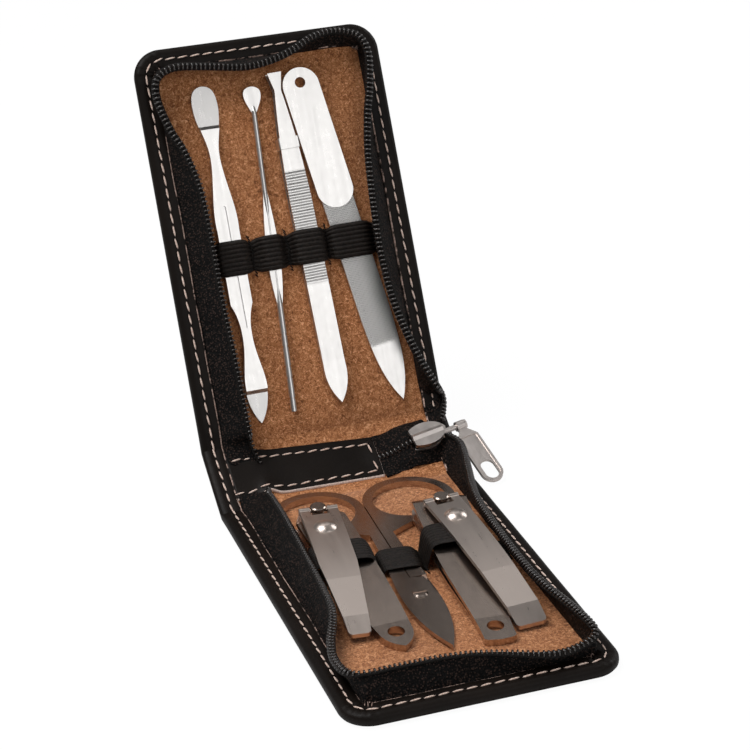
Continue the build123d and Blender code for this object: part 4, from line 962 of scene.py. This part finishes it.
def stitch_ring():
    """Stitch line round a leaf, in its panel's coordinates."""
    side = HALF_WIDTH - STITCH_INSET
    far = LEAF - STITCH_INSET
    r = CORNER - STITCH_INSET
    line = [(-side, v, STITCH_W) for v in np.linspace(2.0, far - r, 60)]
    line += [(-side + r * (1 - math.cos(a)), far - r + r * math.sin(a), STITCH_W)
             for a in np.linspace(0, math.pi / 2, 10)[1:]]
    line += [(x, far, STITCH_W) for x in np.linspace(-side + r, 0, 20)[1:]]
    return line + [(-x, v, w) for x, v, w in reversed(line[:-1])]


lower_stitches = sew("lower_stitches", lower(stitch_ring()), Z_AXIS, 11)
upper_stitches = sew("upper_stitches", upper(stitch_ring()), UPPER_OUT, 12)
spine_stitches = []
for label, x in (("left", -1), ("right", 1)):
    line = [(x * (HALF_WIDTH - STITCH_INSET), s, 2.62 + 0.35 * abs(s - SPINE / 2) / 11)
            for s in np.linspace(1.8, SPINE - 1.8, 14)]
    spine_stitches.append(sew(f"spine_stitches_{label}", spine(line), SPINE_OUT, 13))
print("stitch faces:", len(lower_stitches.data.polygons) + len(upper_stitches.data.polygons))

# %% [markdown]
# ## The patch on the spine
# A strip of leather is sewn over the inside of the spine. Its left part covers the ends of both
# zip tapes, and the zip's tail comes out from under its right end. It is a grid again, because
# its height is a rule: level, with a soft bump over each thing below. Its lower edge is cut and
# left raw, as a thick pinkish line.

# %% Patch
PATCH_LEFT, PATCH_RIGHT = -30.3, 12.8
PATCH_W = 2.15


def patch_low(x):
    """Lower edge of the patch, which runs round the lower coil's end."""
    return 3.5 + 0.022 * (PATCH_RIGHT - x) + 1.1 * math.exp(-((x + 20.5) / 2.4) ** 2)


def patch_high(x):
    """Upper edge of the patch."""
    return 16.9 + 0.07 * (PATCH_RIGHT - x)


def patch_height(x, s):
    """Height of the patch, which rises over both coils' ends and the zip's tail."""
    over_low = 1.0 * math.exp(-((x + 21.0) / 2.2) ** 2 - ((s - patch_low(x)) / 3.5) ** 2)
    over_high = 0.7 * math.exp(-((x + 21.0) / 2.6) ** 2 - ((s - patch_high(x)) / 3.0) ** 2)
    tail = 0.45 * math.exp(-((x - PATCH_RIGHT) / 3.5) ** 2 - ((s - 9.5) / 4.5) ** 2)
    return PATCH_W + over_low + over_high + tail + wobble(x, s, 4.0, 8.0, 0.15)


def make_patch():
    """The patch as a sheet with its edges turned down; its lower and right edges are raw."""
    xs = np.linspace(PATCH_LEFT, PATCH_RIGHT, 110)
    across = [(0, -0.12, -0.95), (0, -0.18, -0.4), (0, -0.02, 0.0), (0, 0.42, 0.12)]
    across += [(t, 0, 0.14) for t in np.linspace(0.07, 0.95, 24)]
    across += [(1, -0.2, 0.1), (1, 0, -0.1), (1, 0.02, -0.8)]
    rows = []
    for t, shift, dw in across:
        row = []
        for x in xs:
            frayed = 0.10 * noise.noise(Vector((x * 1.9, 2.0, 0.0))) if t == 0 else 0.0
            s = patch_low(x) * (1 - t) + patch_high(x) * t + shift + frayed
            row.append((x, s, patch_height(x, s) + dw))
        rows.append(row)
    points = np.array(rows)
    points[:, -1, 2] -= 0.85
    points[:, 0, 2] -= 0.5
    return grid_piece("spine_patch_leather", spine(points), [leather, patch_edge],
                      pick=lambda u, k: 1 if u < 3 or k == len(xs) - 2 else 0)


patch = make_patch()
patch_runs = (
    [(x, patch_high(x) - 2.5) for x in np.linspace(PATCH_LEFT + 3.0, PATCH_RIGHT - 3.6, 30)],
    [(PATCH_RIGHT - 2.0, s) for s in np.linspace(patch_high(PATCH_RIGHT) - 4.0, 7.2, 10)],
    [(x, patch_low(x) + 1.9) for x in np.linspace(PATCH_RIGHT - 3.4, PATCH_LEFT + 1.0, 30)])
patch_stitches = []
for number, run in enumerate(patch_runs):
    line = spine([(x, s, patch_height(x, s) + 0.26) for x, s in run])
    patch_stitches.append(sew(f"patch_stitches_{number + 1}", line, SPINE_OUT, 21 + number,
                              3.6, 0.14, 0.06))
print("patch pieces:", 1 + len(patch_stitches))

# %% [markdown]
# ## The zip's tail
# Right of the patch the zip is still closed: two tapes side by side and one row of meshed teeth.
# It lies at a slant and climbs into the slider's mouth. It gets coordinates of its own, along and
# across, because everything on it is easiest to give that way.

# %% Tail
TAIL_X, TAIL_S, TAIL_TURN = 22.6, 11.5, math.radians(11.0)


def tail(points):
    """Tail coordinates (along, across, w) to scene points."""
    p = np.asarray(points, float)
    x = TAIL_X + p[..., 0] * math.cos(TAIL_TURN) - p[..., 1] * math.sin(TAIL_TURN)
    s = TAIL_S + p[..., 0] * math.sin(TAIL_TURN) + p[..., 1] * math.cos(TAIL_TURN)
    return spine(np.stack([x, s, p[..., 2]], -1))


def tail_level(a):
    """Height of the closed chain's tapes, which climb to the slider."""
    t = part_of(a + 7.0, 6.8)
    return 2.1 + 1.95 * t * t * (3 - 2 * t)


def tail_point(a, b):
    """Point of the tapes at a along and b across: they droop at the sides as they climb."""
    past = part_of(a + 2.0, 9.0)
    droop = (1.5 + 0.7 * past) * (abs(b) / 6.6) ** 2 * part_of(a + 9, 6)
    sink = (1.0 if abs(b) < 3.3 else 0.4) * past
    return (a, b + 0.4 - 1.2 * past * (b < 0),
            tail_level(a) - droop - sink + wobble(a, b, 9, 3.0, 0.35))


tail_rows = tail([[tail_point(a, b) for b in np.linspace(-7.0, 6.8, 34)]
                  for a in np.linspace(-11.0, 7.5, 44)])
tail_cloth = thicken(grid_piece("zip_tail_cloth", tail_rows, [knit]), 0.5, 0.0)
chain_line = tail([(a, 0, tail_level(a) + 0.62) for a in np.linspace(-10.2, 1.0, 30)])
chain_tooth = small_shape("chain_tooth_pattern", 0.8, 1.9, 0.95, 4, 10, 0.5)
tail_teeth = copies_along("zip_tail_teeth", chain_line, SPINE_OUT, chain_tooth, TOOTH_PITCH,
                          coil_nylon, 0.0, 0.03, 31)
print("tail faces:", len(tail_cloth.data.polygons) + len(tail_teeth.data.polygons))

# %% [markdown]
# ## The elastics
# Ribbed black elastic is sewn down between the tools and arches over them. Its ribs catch the
# light, so they are shape and not bump: the section is a band with eight ribs, carried along a
# path that a few points give, and pinched where it is sewn.

# %% Elastics
RIBS = 8
RIB_POINTS = 10             # across one rib
BAND_THICKNESS = 0.75
BAND_STATIONS = 220


def band(name, path, across, normal, width, pinch_at, seed):
    """Ribbed band whose underside follows a path, pinched at the places (x) in pinch_at."""
    ribs_across = RIBS * RIB_POINTS
    points = np.zeros((len(path), 2 * ribs_across, 3))
    run = run_along(path)
    for s, tangent in enumerate(tangents(path)):
        squeeze = 1.0 - sum(0.16 * math.exp(-((path[s, 0] - p) / 1.5) ** 2) for p in pinch_at)
        n = unit(np.cross(tangent, across))
        if n @ normal < 0:
            n = -n
        for k in range(ribs_across):
            t = k / (ribs_across - 1)
            b = (t - 0.5) * width * squeeze
            rib = abs(math.sin(math.pi * RIBS * t)) ** 0.8
            edge = min(1.0, 6 * min(t, 1 - t) + 0.35)
            lift = BAND_THICKNESS * edge * (0.40 + 0.60 * rib) + wobble(run[s], b, seed, 5.0, 0.1)
            points[s, k] = path[s] + across * b + n * lift
            points[s, 2 * ribs_across - 1 - k] = path[s] + across * b
    return outward(grid_piece(name, points, [elastic], closed_v=True, caps=True))

# %% [markdown]
# ## Bar tacks
# Where the elastic is sewn down, a dense row of black thread crosses it, with a knot at each end.
# The same Geometry Nodes tree lays short bars along a slightly crooked line, close enough to
# overlap.

# %% Bar tacks
def bar_tacks(name, path, places, across, normal, width):
    """Black bar tacks over a band where it is sewn down, with a knot at each end."""
    tacks = []
    for number, place_x in enumerate(places):
        centre = path[int(np.argmin(np.abs(path[:, 0] - place_x)))]
        line = [centre + across * t * width + X_AXIS * 0.7 * math.sin(t * 9.0 + number) * 0.5
                + normal * (0.95 - 0.75 * (abs(t) > 0.5)) for t in np.linspace(-0.56, 0.56, 12)]
        tacks.append(copies_along(f"{name}_tack_{number + 1}", np.array(line), normal, tack_shape,
                                  0.95, cord_cloth, 0.5, 0.2, 40 + number))
    return tacks


tack_shape = small_shape("tack_pattern", 1.5, 0.42, 0.42, 4, 6, 0.6)

# %% [markdown]
# ## Course of the elastics
# The humps are pairs of x and height: up and over each tool, and down to the suede between two.
# They leave a little room round the tools, so that nothing cuts into the steel.

# %% Both elastics
UPPER_BAND_V, UPPER_BAND_WIDTH = 52.7, 10.0
upper_humps = smooth_path([
    (-29.0, 2.6), (-26, 2.6), (-23.4, 2.65), (-22.3, 3.4), (-21.4, 4.9), (-20, 5.15), (-17.6, 5.15),
    (-15, 5.1), (-13.6, 4.4), (-12.6, 3.0), (-11.6, 2.65), (-9.8, 2.7), (-8.6, 3.9), (-7.6, 4.45),
    (-5.9, 4.5), (-4.2, 4.4), (-3.2, 3.6), (-2.2, 2.75), (-0.9, 2.65), (0.1, 3.6), (0.9, 5.6),
    (2.2, 6.35), (4.8, 6.4), (7.4, 6.3), (8.6, 5.4), (9.4, 3.4), (10.2, 2.7), (11.2, 3.6),
    (12.1, 4.6), (14, 4.85), (17, 4.9), (20.5, 4.8), (22.3, 4.2), (23.6, 3.0), (25.0, 2.65),
    (27.5, 2.6), (29.0, 2.6)], BAND_STATIONS)
upper_band_path = upper(np.stack(
    [upper_humps[:, 0], np.full(BAND_STATIONS, UPPER_BAND_V), upper_humps[:, 1]], 1))
upper_band = band("upper_elastic_band", upper_band_path, UPPER_UP, UPPER_OUT, UPPER_BAND_WIDTH,
                  (-23.5, -11.9, -1.3, 10.2, 24.8), 2.0)
upper_tacks = bar_tacks("upper_elastic", upper_band_path, (-11.9, -1.3, 10.2), UPPER_UP,
                        UPPER_OUT, UPPER_BAND_WIDTH)
LOWER_BAND_Y, LOWER_BAND_WIDTH = 10.4, 11.0
BAND_TURN = math.radians(-5.0)
band_across = np.array([math.sin(-BAND_TURN), math.cos(BAND_TURN), 0.0])
lower_humps = smooth_path([
    (-29.2, 2.6), (-27, 2.6), (-25.2, 3.2), (-23.4, 6.4), (-22.2, 8.9), (-20.5, 9.75), (-16, 9.85),
    (-11, 9.75), (-8.6, 9.3), (-7.6, 7.6), (-6.9, 4.2), (-6.2, 2.75), (-5.3, 3.4), (-4.6, 4.75),
    (-3, 5.1), (0, 5.15), (3.2, 5.05), (4.6, 4.5), (5.6, 2.9), (6.4, 3.2), (7.1, 6.2), (7.9, 9.3),
    (9.4, 10.35), (13, 10.5), (18, 10.5), (21.5, 10.35), (23.2, 9.4), (24.8, 6.4), (26.2, 3.4),
    (27.6, 2.6), (29.2, 2.6)], BAND_STATIONS)
band_y = LOWER_BAND_Y + math.tan(BAND_TURN) * lower_humps[:, 0]
lower_band_path = np.stack([lower_humps[:, 0], band_y, lower_humps[:, 1]], 1)
lower_band = band("lower_elastic_band", lower_band_path, band_across, Z_AXIS, LOWER_BAND_WIDTH,
                  (-25.5, -6.2, 5.9, 26.5), 5.0)
lower_tacks = bar_tacks("lower_elastic", lower_band_path, (-6.2, 5.9), band_across, Z_AXIS,
                        LOWER_BAND_WIDTH)
print("band faces:", len(upper_band.data.polygons) + len(lower_band.data.polygons))

# %% [markdown]
# ## Finishes of the steel
# The tools keep their CAD shape, and only their material changes. The upper ones are bright and
# brushed, the lower ones are darker and more polished. The file has crossed cuts over most of its
# blade, and the tweezers have ribs to grip. Both patterns run along the tool, so its axis is
# worked out first.

# %% Assign finishes to CAD nodes
FILE_TURN, TWEEZER_TURN = math.radians(8.2), math.radians(1.7)
file_along = -math.sin(FILE_TURN) * X_AXIS + math.cos(FILE_TURN) * UPPER_UP
file_side = math.cos(FILE_TURN) * X_AXIS + math.sin(FILE_TURN) * UPPER_UP
file_tip = float(upper([24.2, 5.4, 3.4]) @ file_along)
file_steel = make_steel(
    "file cut steel", BRIGHT, 0.32,
    cut=(tuple(file_along), tuple(file_side), 0.75, file_tip + 17.0, file_tip + 200.0, 1.0))
arm_along = -math.sin(TWEEZER_TURN) * X_AXIS + math.cos(TWEEZER_TURN) * UPPER_UP
arm_start = float(upper([0.0, 0.0, 3.0]) @ arm_along)
ribbed_steel = make_steel(
    "ribbed grip steel", BRIGHT, 0.30,
    cut=(tuple(arm_along), tuple(X_AXIS), 1.6, arm_start + 42.0, arm_start + 74.5, 0.0))

# The first word that is part of a node's name gives its finish.
FINISHES = (
    ("file_blade", file_steel), ("tweezer_front_arm", ribbed_steel), ("tweezer", bright_steel),
    ("cuticle", bright_steel), ("ear_pick", bright_steel), ("file_handle", bright_steel),
    ("_lever", lever_steel), ("clipper", dark_steel), ("scissor", dark_steel),
    ("zip_slider", nickel), ("zip_pull", nickel), ("_board", card))
for name in nodes:
    finish = next((material for word, material in FINISHES if word in name), None)
    for slot in nodes[name].material_slots if finish else ():
        slot.material = finish
print("finished CAD nodes:", sum(any(word in name for word, _ in FINISHES) for name in nodes))

# %% [markdown]
# ## What moves with what
# Each piece that lies on one panel rides on the body that carries it. Leather, lining and tape that
# cross a crease could be split there, but a split would gape, so each is made whole across its
# crease, in its place. The CAD solids that soft pieces stand for are hidden.

# %% Bodies and replaced solids
def crease(panel, v):
    """Point at the height of a panel's fold line, in metres."""
    return tuple(float(c) * MM for c in panel([0, v, PIVOT]))


LOW_START, LOW_END = crease(lower, 3.5), crease(spine, 3.5)
HIGH_START, HIGH_END = crease(spine, SPINE - 3.5), crease(upper, 3.5)
low = ("lower_leaf", "spine", LOW_START, LOW_END)
high = ("spine", "upper_leaf", HIGH_START, HIGH_END)
for piece, (one, other, start, end), *solids in (
        (lower_leather, low, "lower_cover"), (upper_leather, high, "upper_cover"),
        (lower_suede, low, "lower_lining"), (upper_suede, high, "upper_lining", "spine_lining"),
        (lower_wall, low, "lower_zip_tape"), (upper_wall, high, "upper_zip_tape"),
        (lower_teeth, low, "lower_zip_coil"), (upper_teeth, high, "upper_zip_coil"),
        (lower_cord, low, "lower_zip_coil"), (upper_cord, high, "upper_zip_coil"),
        (spine_leather_low, low, "spine_cover"), (spine_leather_high, high, "spine_cover")):
    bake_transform(piece)
    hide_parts(*solids)
for body, riders in (
        ("lower_leaf", [lower_stitches, lower_band, *lower_tacks]),
        ("upper_leaf", [upper_stitches, upper_band, *upper_tacks]),
        ("spine", [*spine_stitches, *patch_stitches, patch, tail_cloth, tail_teeth])):
    for piece in riders:
        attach(piece, body)
for piece, solid in ((patch, "spine_patch"), (tail_cloth, "zip_tail_tape"),
                     (tail_teeth, "zip_tail_chain"), (lower_band, "lower_elastic"),
                     (upper_band, "upper_elastic")):
    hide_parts(solid)
SLOTS = {"leather": "leather", "suede": "suede", "wall": "zip_tape", "cloth": "zip_tape",
         "cord": "zip_tape", "teeth": "zip_coil", "elastic": "elastic", "stitches": "leather"}
for name, obj in pieces.items():
    for word, slot_name in SLOTS.items():
        if word in name:
            break
print("pieces made here:", len(pieces))

# %% [markdown]
# ## Camera
# The camera stands where the photographer stood, in front, above and a little to the left, with a
# long lens. Its matrix is built from three angles, turn, tilt and roll, because that is how the
# view was found.

# %% Camera
camera_data = bpy.data.cameras.new("camera")
camera_data.lens, camera_data.sensor_width = 117.66, 36.0
camera_data.clip_end = 10.0
camera = bpy.data.objects.new("camera", camera_data)
scene.collection.objects.link(camera)
scene.camera = camera
TURN, DOWN, ROLL = math.radians(17.283), math.radians(24.667), math.radians(-2.587)
ahead = Vector((math.sin(TURN) * math.cos(DOWN), math.cos(TURN) * math.cos(DOWN), -math.sin(DOWN)))
level_right = ahead.cross(Vector((0, 0, 1))).normalized()
level_up = level_right.cross(ahead)
right_axis = level_right * math.cos(ROLL) + level_up * math.sin(ROLL)
up_axis = level_up * math.cos(ROLL) - level_right * math.sin(ROLL)
camera.matrix_world = Matrix((
    (right_axis.x, up_axis.x, -ahead.x, -0.171607),
    (right_axis.y, up_axis.y, -ahead.y, -0.52722),
    (right_axis.z, up_axis.z, -ahead.z, 0.317335),
    (0, 0, 0, 1)))
print("camera at:", [round(v, 3) for v in camera.matrix_world.translation])


# %% [markdown]
# ## Light and floor
# A large soft light in front makes the leaning upper tools shine, and the others lift the lower
# tools and the edges. An image of a studio would also do, but none is loaded here. The
# backdrop is white to the camera and faint to everything else, and the floor is white and keeps a
# faint shadow.

# %% Light and floor
def soft_light(name, location, target, size, power):
    """A rectangular lamp that points at a target."""
    data = bpy.data.lights.new(name, "AREA")
    data.shape = "RECTANGLE"
    data.size, data.size_y = size
    data.energy = power
    lamp = bpy.data.objects.new(name, data)
    scene.collection.objects.link(lamp)
    lamp.location = location
    lamp.rotation_euler = (Vector(target) - Vector(location)).to_track_quat("-Z", "Y").to_euler()


soft_light("front_light", (0.35, -1.1, 0.75), (0, 0.05, 0.05), (0.9, 0.7), 2.9)
soft_light("top_light", (-0.5, 0.1, 1.1), (0, 0, 0), (0.7, 0.7), 9.5)
soft_light("back_light", (0.18, 0.55, 0.85), (0, 0, 0), (0.6, 0.4), 0.45)
soft_light("side_light", (1.0, 0.3, 0.6), (0, 0, 0.05), (0.5, 0.7), 3.0)

world = bpy.data.worlds.new("studio")
scene.world = world
world.use_nodes = True
w = Wiring(world.node_tree)
backdrop = world.node_tree.nodes["Background"]
rays = w.add("ShaderNodeLightPath").outputs
seen = w.math("MAXIMUM", rays["Is Camera Ray"], rays["Is Transmission Ray"])
shine = w.math("MULTIPLY", rays["Is Glossy Ray"], 0.14)
strength = w.math("MAXIMUM", w.math("MAXIMUM", seen, shine), 0.14)
w.feed(backdrop, {"Color": (1, 1, 1, 1), "Strength": strength})

floor_material, w, shader = new_material("white floor")
w.feed(shader, {"Base Color": (0.9, 0.9, 0.9, 1), "Roughness": 0.9})
glow = w.add("ShaderNodeEmission", {"Color": (1, 1, 1, 1), "Strength": 1.03})
rays = w.add("ShaderNodeLightPath").outputs
glow_share = w.math("MULTIPLY", rays["Is Camera Ray"], 0.93)
blend_node = w.add("ShaderNodeMixShader", {0: glow_share, 1: shader.outputs[0], 2: glow.outputs[0]})
w.tree.links.new(blend_node.outputs[0], w.tree.nodes["Material Output"].inputs[0])
floor_mesh = bpy.data.meshes.new("floor")
floor_mesh.from_pydata([(-3, -3, -0.0002), (3, -3, -0.0002), (3, 5, -0.0002), (-3, 5, -0.0002)], [],
                       [(0, 1, 2, 3)])
floor_mesh.materials.append(floor_material)
floor = bpy.data.objects.new("floor", floor_mesh)
scene.collection.objects.link(floor)
scene.view_settings.view_transform = "Standard"
